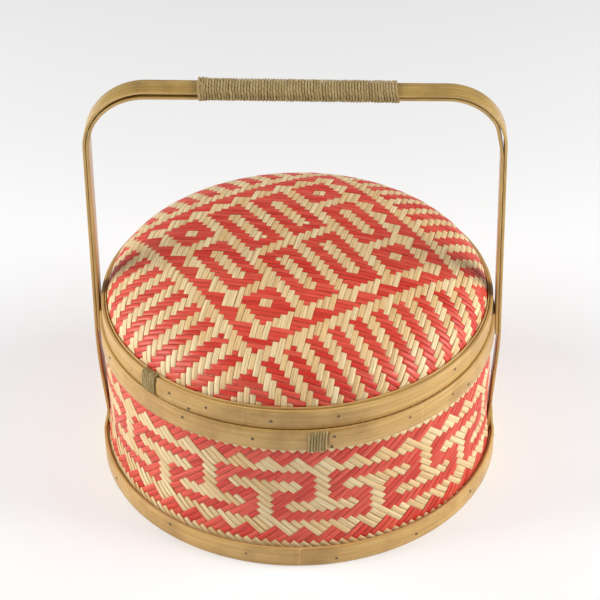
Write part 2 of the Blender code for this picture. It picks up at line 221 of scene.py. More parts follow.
def grain_field(tree: bpy.types.NodeTree, along: float, across: float, detail: float = 3.0,
                shift: bpy.types.NodeSocket | None = None) -> bpy.types.NodeSocket:
    """Noise drawn out along a strip's length, from the piece's own UV in metres.

    Args:
        tree: The material's tree.
        along: Length of one streak in metres.
        across: Width of one streak in metres.
        detail: Octaves of the noise.
        shift: Value that moves the noise, so that each splint has its own.

    Returns:
        The noise value's socket.
    """
    uv = add_node(tree, "ShaderNodeUVMap", uv_map="UVMap")
    stretched = add_node(tree, "ShaderNodeVectorMath", {0: uv.outputs["UV"], 1: (1 / along, 1 / across, 0.0)},
                         operation="MULTIPLY")
    vector = stretched.outputs[0]
    if shift is not None:
        moved = add_node(tree, "ShaderNodeCombineXYZ", {"X": shift, "Y": shift, "Z": shift})
        spread = add_node(tree, "ShaderNodeVectorMath", {0: moved.outputs[0], 1: (31.0, 17.0, 53.0)},
                          operation="MULTIPLY")
        vector = add_node(tree, "ShaderNodeVectorMath", {0: vector, 1: spread.outputs[0]},
                          operation="ADD").outputs[0]
    noise = add_node(tree, "ShaderNodeTexNoise", {"Vector": vector, "Scale": 1.0, "Detail": detail,
                                                  "Roughness": 0.6})
    return noise.outputs["Fac"]


@dataclass(frozen=True)
class SplintFinish:
    """Split bamboo, shaved flat: straight fibres give fine streaks, each splint has a tone of its own."""

    name: str
    body: str
    deep: str
    pale: str
    pith: str
    roughness: float
    fibre_width: float = 0.45 * MM
    fibre_length: float = 14 * MM
    patch_size: float = 60 * MM

    def material(self) -> bpy.types.Material:
        """Build the material for a family of splints."""
        material, tree, shader = start_finish(self.name)
        tint = add_node(tree, "ShaderNodeAttribute", attribute_name="tint").outputs["Fac"]
        skin = add_node(tree, "ShaderNodeAttribute", attribute_name="skin").outputs["Fac"]
        fibres = grain_field(tree, self.fibre_length, self.fibre_width, shift=tint)
        streaks = grain_field(tree, 6 * self.fibre_length, 3 * self.fibre_width, 1.0, tint)
        place = add_node(tree, "ShaderNodeTexCoord").outputs["Object"]
        patches = add_node(tree, "ShaderNodeTexNoise", {"Vector": place, "Scale": 1 / self.patch_size,
                                                        "Detail": 2.0}).outputs["Fac"]
        tone = ramped(tree, tint, 0.0, 1.0)
        own = mixed(tree, tone, linear(self.body), linear(self.pale))
        worn = mixed(tree, ramped(tree, patches, 0.42, 0.70, 0.0, 0.45), own, linear(self.pale))
        streaked = mixed(tree, ramped(tree, streaks, 0.45, 0.75, 0.0, 0.5), worn, linear(self.deep))
        grained = mixed(tree, ramped(tree, fibres, 0.35, 0.75, 0.0, 0.55), streaked, linear(self.deep))
        faced = mixed(tree, ramped(tree, skin, 0.2, -0.6, 0.0, 0.5), grained, linear(self.pith))
        tree.links.new(faced, shader.inputs["Base Color"])
        tree.links.new(ramped(tree, fibres, 0.3, 0.8, self.roughness - 0.08, self.roughness + 0.12),
                       shader.inputs["Roughness"])
        bump = add_node(tree, "ShaderNodeBump", {"Height": fibres, "Strength": 0.35, "Distance": 0.12 * MM})
        tree.links.new(bump.outputs[0], shader.inputs["Normal"])
        shader.inputs["IOR"].default_value = 1.5
        return material


@dataclass(frozen=True)
class StripFinish:
    """Bent bamboo strip with its skin: silky, honey to olive, with fine long fibres and a few joints."""

    name: str
    skin: str
    shade: str
    pale: str
    edge: str
    inside: str
    roughness: float = 0.42
    coat: float = 0.12
    fibre_width: float = 0.55 * MM
    fibre_length: float = 45 * MM
    joint_spacing: float = 260 * MM
    joint_width: float = 1.1 * MM

    def material(self) -> bpy.types.Material:
        """Build the material for hoops and handle strips."""
        material, tree, shader = start_finish(self.name)
        side = add_node(tree, "ShaderNodeAttribute", attribute_name="skin").outputs["Fac"]
        fibres = grain_field(tree, self.fibre_length, self.fibre_width)
        bands = grain_field(tree, 4 * self.fibre_length, 5 * self.fibre_width, 2.0)
        place = add_node(tree, "ShaderNodeTexCoord").outputs["Object"]
        patches = add_node(tree, "ShaderNodeTexNoise", {"Vector": place, "Scale": 28.0, "Detail": 3.0,
                                                        "Roughness": 0.6}).outputs["Fac"]
        toned = mixed(tree, ramped(tree, bands, 0.35, 0.70), linear(self.pale), linear(self.skin))
        patched = mixed(tree, ramped(tree, patches, 0.40, 0.72, 0.0, 0.55), toned, linear(self.shade))
        grained = mixed(tree, ramped(tree, fibres, 0.42, 0.78, 0.0, 0.55), patched, linear(self.shade))
        uv = add_node(tree, "ShaderNodeUVMap", uv_map="UVMap")
        along = add_node(tree, "ShaderNodeSeparateXYZ", {0: uv.outputs["UV"]}).outputs["X"]
        swing = add_node(tree, "ShaderNodeMath", {0: along, 1: self.joint_spacing}, operation="PINGPONG")
        joint = ramped(tree, swing.outputs[0], self.joint_width, 0.2 * self.joint_width)
        jointed = mixed(tree, add_node(tree, "ShaderNodeMath", {0: joint, 1: 0.2}, operation="MULTIPLY").outputs[0],
                        grained, linear(self.shade))
        cut = mixed(tree, ramped(tree, fibres, 0.3, 0.8, 0.0, 0.6), linear(self.edge), linear(self.shade))
        rounded = mixed(tree, ramped(tree, side, 0.95, 0.55), jointed, cut)
        faced = mixed(tree, ramped(tree, side, -0.55, -0.95), rounded,
                      mixed(tree, ramped(tree, fibres, 0.3, 0.8), linear(self.inside), linear(self.shade)))
        tree.links.new(faced, shader.inputs["Base Color"])
        tree.links.new(ramped(tree, fibres, 0.3, 0.8, self.roughness - 0.06, self.roughness + 0.14),
                       shader.inputs["Roughness"])
        bump = add_node(tree, "ShaderNodeBump", {"Height": fibres, "Strength": 0.3, "Distance": 0.15 * MM})
        tree.links.new(bump.outputs[0], shader.inputs["Normal"])
        shader.inputs["IOR"].default_value = 1.5
        shader.inputs["Coat Weight"].default_value = self.coat
        shader.inputs["Coat Roughness"].default_value = 0.24
        return material


@dataclass(frozen=True)
class CordFinish:
    """Two-ply jute cord: matt khaki with short loose fibres, and painted shade that darkens the groove between the
    plies.
    """

    name: str
    fibre: str
    # Darker jute tone for the fibre streaks, and the painted shade in the groove between the plies.
    dark_fibre_and_groove_shade: str
    pale: str
    lay: float = 5.5 * MM

    def material(self) -> bpy.types.Material:
        """Build the material for the winding and the lashings."""
        material, tree, shader = start_finish(self.name)
        uv = add_node(tree, "ShaderNodeUVMap", uv_map="UVMap")
        along = add_node(tree, "ShaderNodeSeparateXYZ", {0: uv.outputs["UV"]}).outputs["X"]
        ring = add_node(tree, "ShaderNodeAttribute", attribute_name="ring").outputs["Vector"]
        parts = add_node(tree, "ShaderNodeSeparateXYZ", {0: ring})
        turn = add_node(tree, "ShaderNodeMath", {0: parts.outputs["Y"], 1: parts.outputs["X"]}, operation="ARCTAN2")
        twist = add_node(tree, "ShaderNodeMath", {0: along, 1: FULL_TURN / self.lay}, operation="MULTIPLY")
        angle = add_node(tree, "ShaderNodeMath", {0: turn.outputs[0], 1: 2.0, 2: twist.outputs[0]},
                         operation="MULTIPLY_ADD")
        ply = add_node(tree, "ShaderNodeMath", {0: angle.outputs[0]}, operation="SINE").outputs[0]
        fibres = grain_field(tree, 3 * MM, 0.3 * MM, 4.0)
        shade = grain_field(tree, 30 * MM, 30 * MM, 2.0)
        toned = mixed(tree, ramped(tree, shade, 0.35, 0.65), linear(self.fibre), linear(self.pale))
        grained = mixed(tree, ramped(tree, fibres, 0.35, 0.75, 0.0, 0.38), toned, linear(self.dark_fibre_and_groove_shade))
        # Painted shade: the colour darkens in the groove where the two plies meet.
        groove_shaded = mixed(tree, ramped(tree, ply, -0.55, -1.0, 0.0, 0.3), grained, linear(self.dark_fibre_and_groove_shade))
        tree.links.new(groove_shaded, shader.inputs["Base Color"])
        relief = add_node(tree, "ShaderNodeMath", {0: fibres, 1: 0.4, 2: ramped(tree, ply, -1.0, 0.2)},
                          operation="MULTIPLY_ADD")
        bump = add_node(tree, "ShaderNodeBump", {"Height": relief.outputs[0], "Strength": 0.45,
                                                 "Distance": 0.2 * MM})
        tree.links.new(bump.outputs[0], shader.inputs["Normal"])
        shader.inputs["Roughness"].default_value = 0.85
        shader.inputs["Sheen Weight"].default_value = 0.15
        return material


@dataclass(frozen=True)
class NailFinish:
    """Small iron nail, dulled by air: dark grey heads with a little rust."""

    name: str = "dulled_iron_nail"
    metal: str = "7c6a54"
    rust: str = "5b4128"

    def material(self) -> bpy.types.Material:
        """Build the material for the nails."""
        material, tree, shader = start_finish(self.name)
        place = add_node(tree, "ShaderNodeTexCoord").outputs["Object"]
        spots = add_node(tree, "ShaderNodeTexNoise", {"Vector": place, "Scale": 900.0, "Detail": 3.0}).outputs["Fac"]
        tree.links.new(mixed(tree, ramped(tree, spots, 0.45, 0.65), linear(self.metal), linear(self.rust)),
                       shader.inputs["Base Color"])
        tree.links.new(ramped(tree, spots, 0.4, 0.7, 0.35, 0.65), shader.inputs["Roughness"])
        shader.inputs["Metallic"].default_value = 0.5
        return material


@dataclass(frozen=True)
class BackdropFinish:
    """Plain matt paper under the basket, which the camera sees a little brighter in front than it is lit."""

    name: str = "matt_backdrop_paper"
    paper: str = "f2f5f9"
    seen_light: str = "e9f3ff"
    seen_strength: float = 0.16
    seen_from: float = 0.45
    seen_to: float = -0.05
    fades_from: float = -0.11
    fades_to: float = -0.19

    def material(self) -> bpy.types.Material:
        """Build the material for the studio floor."""
        material, tree, shader = start_finish(self.name)
        shader.inputs["Base Color"].default_value = linear(self.paper)
        shader.inputs["Roughness"].default_value = 0.9
        shader.inputs["Specular IOR Level"].default_value = 0.2
        place = add_node(tree, "ShaderNodeTexCoord").outputs["Object"]
        back = add_node(tree, "ShaderNodeSeparateXYZ", {0: place}).outputs["Y"]
        near = ramped(tree, back, self.seen_from, self.seen_to, 0.0, self.seen_strength)
        faded = add_node(tree, "ShaderNodeMath", {0: near, 1: ramped(tree, back, self.fades_from, self.fades_to,
                                                                     1.0, 0.4)}, operation="MULTIPLY").outputs[0]
        seen = add_node(tree, "ShaderNodeLightPath").outputs["Is Camera Ray"]
        lift = add_node(tree, "ShaderNodeMath", {0: faded, 1: seen}, operation="MULTIPLY")
        shader.inputs["Emission Color"].default_value = linear(self.seen_light)
        tree.links.new(lift.outputs[0], shader.inputs["Emission Strength"])
        return material


NATURAL_SPLINT = SplintFinish("shaved_bamboo_splint", body="f0cc93", deep="b0884c", pale="fbe8ba", pith="d6b178",
                              roughness=0.44)
DYED_SPLINT = SplintFinish("red_dyed_bamboo_splint", body="e23b2d", deep="9c1d12", pale="f2634e", pith="c95540",
                           roughness=0.40)
HOOP_STRIP = StripFinish("bent_bamboo_hoop", skin="c79b57", shade="996f33", pale="d9b36c", edge="dcbd7e",
                         inside="c99d5c", roughness=0.38, coat=0.22)
HANDLE_STRIP = StripFinish("bent_bamboo_handle", skin="b08f49", shade="80622b", pale="cba95e", edge="d8b46b",
                           inside="c28d56", roughness=0.32, coat=0.35)
# The cord's dark colour gives its fibre streaks and the painted shade in the groove between its plies.
JUTE_CORD = CordFinish("two_ply_jute_cord", fibre="a88f5a", dark_fibre_and_groove_shade="4c3a1c", pale="c4ae78")


# ---------------------------------------------------------------------------------------------------------
# Geometry Nodes trees
# ---------------------------------------------------------------------------------------------------------


def start_tree(name: str, inputs: dict[str, str]) -> tuple[bpy.types.NodeTree, bpy.types.Node]:
    """Start a Geometry Nodes tree with named inputs and a geometry output.

    Args:
        name: Name of the tree.
        inputs: Socket type by input name, after the geometry.

    Returns:
        The tree and its group input node.
    """
    tree = bpy.data.node_groups.new(name, "GeometryNodeTree")
    tree.interface.new_socket("Geometry", in_out="INPUT", socket_type="NodeSocketGeometry")
    for label, kind in inputs.items():
        tree.interface.new_socket(label, in_out="INPUT", socket_type=kind)
    tree.interface.new_socket("Geometry", in_out="OUTPUT", socket_type="NodeSocketGeometry")
    return tree, tree.nodes.new("NodeGroupInput")


def finish_tree(tree: bpy.types.NodeTree, geometry: bpy.types.NodeSocket, finish: bpy.types.NodeSocket) -> None:
    """End a tree in Realize Instances and Set Material.

    Args:
        tree: The Geometry Nodes tree.
        geometry: What the tree has made.
        finish: The material input.
    """
    smooth = add_node(tree, "GeometryNodeSetShadeSmooth", {"Geometry": geometry})
    real = add_node(tree, "GeometryNodeRealizeInstances", {"Geometry": smooth.outputs["Geometry"]})
    dressed = add_node(tree, "GeometryNodeSetMaterial", {"Geometry": real.outputs["Geometry"], "Material": finish})
    add_node(tree, "NodeGroupOutput", {"Geometry": dressed.outputs["Geometry"]})


def stored(tree: bpy.types.NodeTree, geometry: bpy.types.NodeSocket, name: str, value: bpy.types.NodeSocket,
           kind: str, domain: str = "POINT") -> bpy.types.NodeSocket:
    """Store a named attribute and return the geometry's socket.

    Args:
        tree: The Geometry Nodes tree.
        geometry: The geometry to write on.
        name: Name of the attribute.
        value: Field to store.
        kind: Data type of the attribute.
        domain: Domain of the attribute.

    Returns:
        The geometry with its attribute.
    """
    node = add_node(tree, "GeometryNodeStoreNamedAttribute", data_type=kind, domain=domain)
    node.inputs["Name"].default_value = name
    tree.links.new(geometry, node.inputs["Geometry"])
    tree.links.new(value, next(s for s in node.inputs if s.name == "Value" and s.enabled))
    return node.outputs["Geometry"]


def captured(tree: bpy.types.NodeTree, geometry: bpy.types.NodeSocket, value: bpy.types.NodeSocket,
             kind: str) -> tuple[bpy.types.NodeSocket, bpy.types.NodeSocket]:
    """Capture a field on a curve's points.

    Args:
        tree: The Geometry Nodes tree.
        geometry: The curve.
        value: Field to capture.
        kind: Data type of the field.

    Returns:
        The curve's socket and the captured value's socket.
    """
    node = add_node(tree, "GeometryNodeCaptureAttribute", domain="POINT")
    node.capture_items.new(kind, "Value")
    tree.links.new(geometry, node.inputs[0])
    tree.links.new(value, node.inputs[1])
    return node.outputs[0], node.outputs[1]


def strip_tree() -> bpy.types.NodeTree:
    """Tree that lays a flat strip with eased edges along each open line of its input.

    The input's points say which way is outward and how wide the strip is there. The tree stores UV in metres
    (along, across) and a skin value that is 1 on the outward face and -1 on the inward one.
    """
    tree, source = start_tree("flat_strip", {"Width": "NodeSocketFloat", "Thickness": "NodeSocketFloat",
                                             "Eased Edge": "NodeSocketFloat", "Edge Points": "NodeSocketInt",
                                             "Finish": "NodeSocketMaterial"})
    line = add_node(tree, "GeometryNodeMeshToCurve", {"Mesh": source.outputs["Geometry"]})
    outward = add_node(tree, "GeometryNodeInputNamedAttribute", {"Name": "outward"}, data_type="FLOAT_VECTOR")
    share = add_node(tree, "GeometryNodeInputNamedAttribute", {"Name": "width_share"}, data_type="FLOAT")
    turned = add_node(tree, "GeometryNodeSetCurveNormal", mode="FREE")
    tree.links.new(line.outputs["Curve"], turned.inputs["Curve"])
    tree.links.new(outward.outputs["Attribute"], turned.inputs["Normal"])
    length = add_node(tree, "GeometryNodeSplineParameter")
    curve, along = captured(tree, turned.outputs["Curve"], length.outputs["Length"], "FLOAT")
    outline = add_node(tree, "GeometryNodeCurvePrimitiveQuadrilateral",
                       {"Width": source.outputs["Thickness"], "Height": source.outputs["Width"]})
    eased = add_node(tree, "GeometryNodeFilletCurve", mode="POLY")
    tree.links.new(outline.outputs["Curve"], eased.inputs["Curve"])
    tree.links.new(source.outputs["Eased Edge"], eased.inputs["Radius"])
    tree.links.new(source.outputs["Edge Points"], eased.inputs["Count"])
    spot = add_node(tree, "GeometryNodeInputPosition")
    profile, corner = captured(tree, eased.outputs["Curve"], spot.outputs[0], "VECTOR")
    swept = add_node(tree, "GeometryNodeCurveToMesh", {"Curve": curve, "Profile Curve": profile,
                                                       "Scale": share.outputs["Attribute"], "Fill Caps": True})
    parts = add_node(tree, "ShaderNodeSeparateXYZ", {0: corner})
    uv = add_node(tree, "ShaderNodeCombineXYZ", {"X": along, "Y": parts.outputs["Y"]})
    mapped = stored(tree, swept.outputs["Mesh"], "UVMap", uv.outputs[0], "FLOAT2", "CORNER")
    half = add_node(tree, "ShaderNodeMath", {0: source.outputs["Thickness"], 1: 0.5}, operation="MULTIPLY")
    skin = add_node(tree, "ShaderNodeMath", {0: parts.outputs["X"], 1: half.outputs[0]}, operation="DIVIDE")
    faced = stored(tree, mapped, "skin", skin.outputs[0], "FLOAT")
    finish_tree(tree, faced, source.outputs["Finish"])
    return tree


def cord_tree() -> bpy.types.NodeTree:
    """Tree that lays a round cord along each line of its input and stores UV and a ring direction."""
    tree, source = start_tree("round_cord", {"Diameter": "NodeSocketFloat", "Sides": "NodeSocketInt",
                                             "Finish": "NodeSocketMaterial"})
    line = add_node(tree, "GeometryNodeMeshToCurve", {"Mesh": source.outputs["Geometry"]})
    share = add_node(tree, "GeometryNodeInputNamedAttribute", {"Name": "width_share"}, data_type="FLOAT")
    length = add_node(tree, "GeometryNodeSplineParameter")
    curve, along = captured(tree, line.outputs["Curve"], length.outputs["Length"], "FLOAT")
    radius = add_node(tree, "ShaderNodeMath", {0: source.outputs["Diameter"], 1: 0.5}, operation="MULTIPLY")
    circle = add_node(tree, "GeometryNodeCurvePrimitiveCircle",
                      {"Resolution": source.outputs["Sides"], "Radius": radius.outputs[0]})
    spot = add_node(tree, "GeometryNodeInputPosition")
    profile, corner = captured(tree, circle.outputs["Curve"], spot.outputs[0], "VECTOR")
    swept = add_node(tree, "GeometryNodeCurveToMesh", {"Curve": curve, "Profile Curve": profile,
                                                       "Scale": share.outputs["Attribute"], "Fill Caps": True})
    parts = add_node(tree, "ShaderNodeSeparateXYZ", {0: corner})
    uv = add_node(tree, "ShaderNodeCombineXYZ", {"X": along, "Y": parts.outputs["Y"]})
    mapped = stored(tree, swept.outputs["Mesh"], "UVMap", uv.outputs[0], "FLOAT2", "CORNER")
    ringed = stored(tree, mapped, "ring", corner, "FLOAT_VECTOR")
    finish_tree(tree, ringed, source.outputs["Finish"])
    return tree


def nail_tree() -> bpy.types.NodeTree:
    """Tree that drives a flat round nail head into the surface at each point of its input."""
    tree, source = start_tree("nail_heads", {"Diameter": "NodeSocketFloat", "Rise": "NodeSocketFloat",
                                             "Size Spread": "NodeSocketFloat", "Seed": "NodeSocketInt",
                                             "Finish": "NodeSocketMaterial"})
    outward = add_node(tree, "GeometryNodeInputNamedAttribute", {"Name": "outward"}, data_type="FLOAT_VECTOR")
    radius = add_node(tree, "ShaderNodeMath", {0: source.outputs["Diameter"], 1: 0.5}, operation="MULTIPLY")
    ball = add_node(tree, "GeometryNodeMeshUVSphere", {"Segments": 12, "Rings": 8, "Radius": radius.outputs[0]})
    flat = add_node(tree, "ShaderNodeMath", {0: source.outputs["Rise"], 1: radius.outputs[0]}, operation="DIVIDE")
    squash = add_node(tree, "ShaderNodeCombineXYZ", {"X": 1.0, "Y": 1.0, "Z": flat.outputs[0]})
    head = add_node(tree, "GeometryNodeTransform", {"Geometry": ball.outputs["Mesh"], "Scale": squash.outputs[0]})
    turn = add_node(tree, "FunctionNodeAlignRotationToVector", {"Vector": outward.outputs["Attribute"]}, axis="Z")
    spread = add_node(tree, "FunctionNodeRandomValue", {"Seed": source.outputs["Seed"]}, data_type="FLOAT")
    low = add_node(tree, "ShaderNodeMath", {0: 1.0, 1: source.outputs["Size Spread"]}, operation="SUBTRACT")
    high = add_node(tree, "ShaderNodeMath", {0: 1.0, 1: source.outputs["Size Spread"]}, operation="ADD")
    tree.links.new(low.outputs[0], spread.inputs[2])
    tree.links.new(high.outputs[0], spread.inputs[3])
    placed = add_node(tree, "GeometryNodeInstanceOnPoints",
                      {"Points": source.outputs["Geometry"], "Instance": head.outputs["Geometry"],
                       "Rotation": turn.outputs["Rotation"], "Scale": spread.outputs[1]})
    finish_tree(tree, placed.outputs["Instances"], source.outputs["Finish"])
    return tree


def grow(name: str, seed_mesh: bpy.types.Mesh, tree: bpy.types.NodeTree,
         inputs: dict[str, object]) -> bpy.types.Object:
    """Run a Geometry Nodes tree on a mesh and keep the result as a plain mesh.

    Args:
        name: Name of the new object.
        seed_mesh: Points or lines that the tree works from.
        tree: The Geometry Nodes tree.
        inputs: Value by input name.

    Returns:
        The object, with its modifier already removed.
    """
    obj = link_object(name, seed_mesh)
    modifier = obj.modifiers.new(tree.name, "NODES")
    modifier.node_group = tree
    sockets = {item.name: item.identifier for item in tree.interface.items_tree if item.in_out == "INPUT"}
    for label, value in inputs.items():
        modifier[sockets[label]] = value
    depsgraph = bpy.context.evaluated_depsgraph_get()
    mesh = bpy.data.meshes.new_from_object(obj.evaluated_get(depsgraph), depsgraph=depsgraph)
    mesh.name = name
    obj.modifiers.remove(modifier)
    obj.data = mesh
    bpy.data.meshes.remove(seed_mesh)
    return obj


@dataclass
class Strand:
    """One strip's or cord's route: points, which way is outward, how wide it is there, and its tone."""

    points: list[Vector] = field(default_factory=list)
    outward: list[Vector] = field(default_factory=list)
    shares: list[float] = field(default_factory=list)
    tint: float = 0.5

    def add(self, point: Vector, outward: Vector, share: float = 1.0) -> None:
        """Add one point at the end of the route."""
        self.points.append(point)
        self.outward.append(outward)
        self.shares.append(share)


def strand_mesh(name: str, strands: Sequence[Strand]) -> bpy.types.Mesh:
    """Turn routes into a mesh of open lines with their attributes.

    Args:
        name: Name of the mesh.
        strands: The routes.

    Returns:
        A mesh of points and edges for strip_tree or cord_tree.
    """
    points = [p for strand in strands for p in strand.points]
    edges, start = [], 0
    for strand in strands:
        edges += [(start + i, start + i + 1) for i in range(len(strand.points) - 1)]
        start += len(strand.points)
    mesh = bpy.data.meshes.new(name)
    mesh.from_pydata(points, edges, [])
    outward = mesh.attributes.new("outward", "FLOAT_VECTOR", "POINT")
    outward.data.foreach_set("vector", [c for strand in strands for n in strand.outward for c in n])
    share = mesh.attributes.new("width_share", "FLOAT", "POINT")
    share.data.foreach_set("value", [s for strand in strands for s in strand.shares])
    tint = mesh.attributes.new("tint", "FLOAT", "POINT")
    tint.data.foreach_set("value", [strand.tint for strand in strands for _ in strand.points])
    return mesh


# ---------------------------------------------------------------------------------------------------------
# Weave
# ---------------------------------------------------------------------------------------------------------


def off_centre(value: float, period: float, centre: float) -> float:
    """Return how far a value is from the nearest of the evenly spaced centres."""
    return abs((value - centre + period / 2) % period - period / 2)


@dataclass(frozen=True)
class Weave:
    """A sheet of two families of splints that cross.

    Cell (n, d) is where natural splint n and dyed splint d cross. place gives the sheet's middle and its
    outward direction there, and natural_on_top says which family shows outside.
    """

    place: Place
    natural_on_top: Callable[[int, int], bool]
    pitch: float
    lift: float = 0.36 * MM
    crown: float = 0.16 * MM
    dive: float = 0.17
    wander: float = 0.03
    unevenness: float = 0.05 * MM
    narrowest: float = 0.935

    def spot(self, family: Splint, number: float, along: float) -> tuple[Vector, Vector]:
        """Point and outward direction on one splint's middle line."""
        return self.place(number, along) if family is Splint.NATURAL else self.place(along, number)

    def on_top(self, family: Splint, number: int, cell: int) -> bool:
        """Whether this family's splint shows outside in a cell."""
        if family is Splint.NATURAL:
            return self.natural_on_top(number, cell)
        return not self.natural_on_top(cell, number)

    def strand(self, family: Splint, number: int, start: float, end: float, rng: random.Random) -> Strand:
        """Lay one splint over and under the splints that cross it.

        Args:
            family: Natural or dyed.
            number: The splint's number in its family.
            start: Where it begins, counted in cells along it.
            end: Where it ends.
            rng: Source of the hand's small irregularities.

        Returns:
            The splint's route.
        """
        strand = Strand(tint=rng.random())
        width = rng.uniform(self.narrowest, 1.0)
        phase, drift = rng.uniform(0, FULL_TURN), rng.uniform(0.2, 1.0) * self.wander

        def lay(along: float, height: float) -> None:
            aside = number + drift * math.sin(phase + along * 0.35)
            point, outward = self.spot(family, aside, along)
            step = self.spot(family, aside, along + 0.25)[0] - self.spot(family, aside, along - 0.25)[0]
            across = self.spot(family, aside + 0.25, along)[0] - self.spot(family, aside - 0.25, along)[0]
            room = 2 * step.cross(across).length / max(step.length, 1e-9)
            uneven = rng.gauss(0.0, self.unevenness)
            strand.add(point + outward * (height + uneven), outward, width * min(room / self.pitch, 1.2))

        first, last = math.ceil(start), math.floor(end)
        states = {cell: self.on_top(family, number, cell) for cell in range(first - 1, last + 2)}
        height = {cell: self.lift if top else -self.lift for cell, top in states.items()}
        if start < first - 0.1:
            lay(start, height[first])
        for cell in range(first, last + 1):
            held = states[cell - 1] == states[cell] == states[cell + 1]
            lay(cell, height[cell] + (self.crown if held and states[cell] else 0.0))
            if cell < last and states[cell] != states[cell + 1]:
                lay(cell + 0.5 - self.dive, height[cell])
                lay(cell + 0.5 + self.dive, height[cell + 1])
        if end > last + 0.1:
            lay(end, height[last])
        return strand


@dataclass(frozen=True)
class SheetSizes:
    """Splint sizes of one sheet."""

    width: float
    thickness: float
    eased_edge: float


def splint_piece(name: str, strands: Sequence[Strand], sizes: SheetSizes, tree: bpy.types.NodeTree,
                 finish: bpy.types.Material) -> bpy.types.Object:
    """Make the strips of one family of splints as one piece.

    Args:
        name: Name of the piece.
        strands: The splints' routes.
        sizes: Width, thickness and eased edge of a splint.
        tree: The flat strip tree.
        finish: The splints' material.

    Returns:
        The finished object.
    """
    return grow(name, strand_mesh(name, strands), tree,
                {"Width": sizes.width, "Thickness": sizes.thickness, "Eased Edge": sizes.eased_edge,
                 "Edge Points": 1, "Finish": finish})


@dataclass
class WallWeave:
    """The bin's wall: splints at a slant, natural and dyed, with a fret of T forms between two saw edges."""

    ring: RingSize = field(default_factory=lambda: ring_of("bin_wall"))
    splints_round: int = 132
    splint_pitch: float = 4.3 * MM
    row_height: float = 3.076 * MM
    row_swing: float = 0.15 * MM
    row_turn: float = math.radians(80.4)
    fret_height: float = 54.87 * MM
    fret_swing: float = 4.21 * MM
    fret_turn: float = math.radians(-139)
    fret_angle: float = math.radians(-97.7)
    fret_period: int = 24
    saw_period: int = 6
    saw_row: int = 9
    sizes: SheetSizes = SheetSizes(width=4.23 * MM, thickness=0.5 * MM, eased_edge=0.16 * MM)
    end_gap: float = 1.6 * MM
    belly: float = 0.8 * MM
    belly_height: float = 78.0 * MM
    flare: float = 2.2 * MM
    flare_height: float = 42.0 * MM
    leg_space: tuple[float, float] = (9.5 * MM, 18.0 * MM)
    seed: int = 11

    @property
    def half_cell(self) -> float:
        """Angle between one splint and a place halfway to the next."""
        return FULL_TURN / (2 * self.splints_round)

    def row(self, angle: float) -> float:
        """Height of a row of cells, which the weaver has beaten down more on one side than on the other."""
        return self.row_height + self.row_swing * math.cos(angle - self.row_turn)

    def fret_line(self, angle: float) -> float:
        """Height of the fret's middle, which runs round the bin at a slight slope."""
        return self.fret_height + self.fret_swing * math.cos(angle - self.fret_turn)

    def swell(self, angle: float, height: float) -> float:
        """How far the wall stands out of a plain cylinder.

        The wall bellies a little under the rim, and its foot spreads out to the base hoop except behind the
        handle's legs.

        Args:
            angle: Place round the basket.
            height: Height of the point.

        Returns:
            The distance in metres.
        """
        belly = self.belly * max(0.0, 1 - ((height - self.belly_height) / (0.5 * self.belly_height)) ** 2)
        near, far = self.leg_space
        aside = abs(math.sin(angle)) * self.ring.middle
        clear = min(max((aside - near) / (far - near), 0.0), 1.0)
        low = min(max(1 - (height - 12 * MM) / (self.flare_height - 12 * MM), 0.0), 1.0)
        return belly + self.flare * clear * clear * (3 - 2 * clear) * low * low * (3 - 2 * low)

    def place(self, natural: float, dyed: float) -> tuple[Vector, Vector]:
        """Middle of the wall where two splints cross, and the way out."""
        angle = self.fret_angle + (natural - dyed) * self.half_cell
        outward = Vector((math.cos(angle), math.sin(angle), 0.0))
        height = self.fret_line(angle) + (natural + dyed) * self.row(angle)
        return outward * (self.ring.middle + self.swell(angle, height)) + Vector((0.0, 0.0, height)), outward

    def reaches(self, family: Splint, number: int, height: float) -> float:
        """Where a splint reaches a height, counted in cells along it."""
        rows = (height - self.fret_height) / self.row_height
        for _ in range(6):
            across = 2 * number - rows if family is Splint.NATURAL else rows - 2 * number
            angle = self.fret_angle + across * self.half_cell
            rows = (height - self.fret_line(angle)) / self.row(angle)
        return rows - number

    def natural_on_top(self, natural: int, dyed: int) -> bool:
        """The fret's rule: T forms hang from and stand on two natural bands with sawn outer edges."""
        across, row = natural - dyed, natural + dyed
        hanging = off_centre(across, self.fret_period, 0)
        standing = off_centre(across, self.fret_period, self.fret_period / 2)
        if (2 <= row <= 4 and hanging <= 7) or (-4 <= row <= -2 and standing <= 7):
            return True
        if (-8 <= row <= 4 and hanging <= 1) or (-4 <= row <= 8 and standing <= 1):
            return True
        saw = off_centre(across, self.saw_period, math.copysign(1, row))
        if abs(row) in (8, 9) or (abs(row) > 9 and abs(row) - self.saw_row + saw <= 2):
            return True
        if abs(row) > 16:
            return off_centre(across, self.saw_period, 0) <= 1
        return abs(row) >= 14

    def build(self, tree: bpy.types.NodeTree, finishes: dict[Splint, bpy.types.Material]) -> list[bpy.types.Object]:
        """Make the wall's natural and dyed splints."""
        rng = random.Random(self.seed)
        weave = Weave(self.place, self.natural_on_top, self.splint_pitch)
        low, high = self.ring.bottom + self.end_gap, self.ring.top - self.end_gap
        pieces = []
        for family in Splint:
            strands = [weave.strand(family, number, self.reaches(family, number, low),
                                    self.reaches(family, number, high), rng)
                       for number in range(self.splints_round)]
            pieces.append(splint_piece(f"wall_{family.value}_splints", strands, self.sizes, tree, finishes[family]))
        return pieces


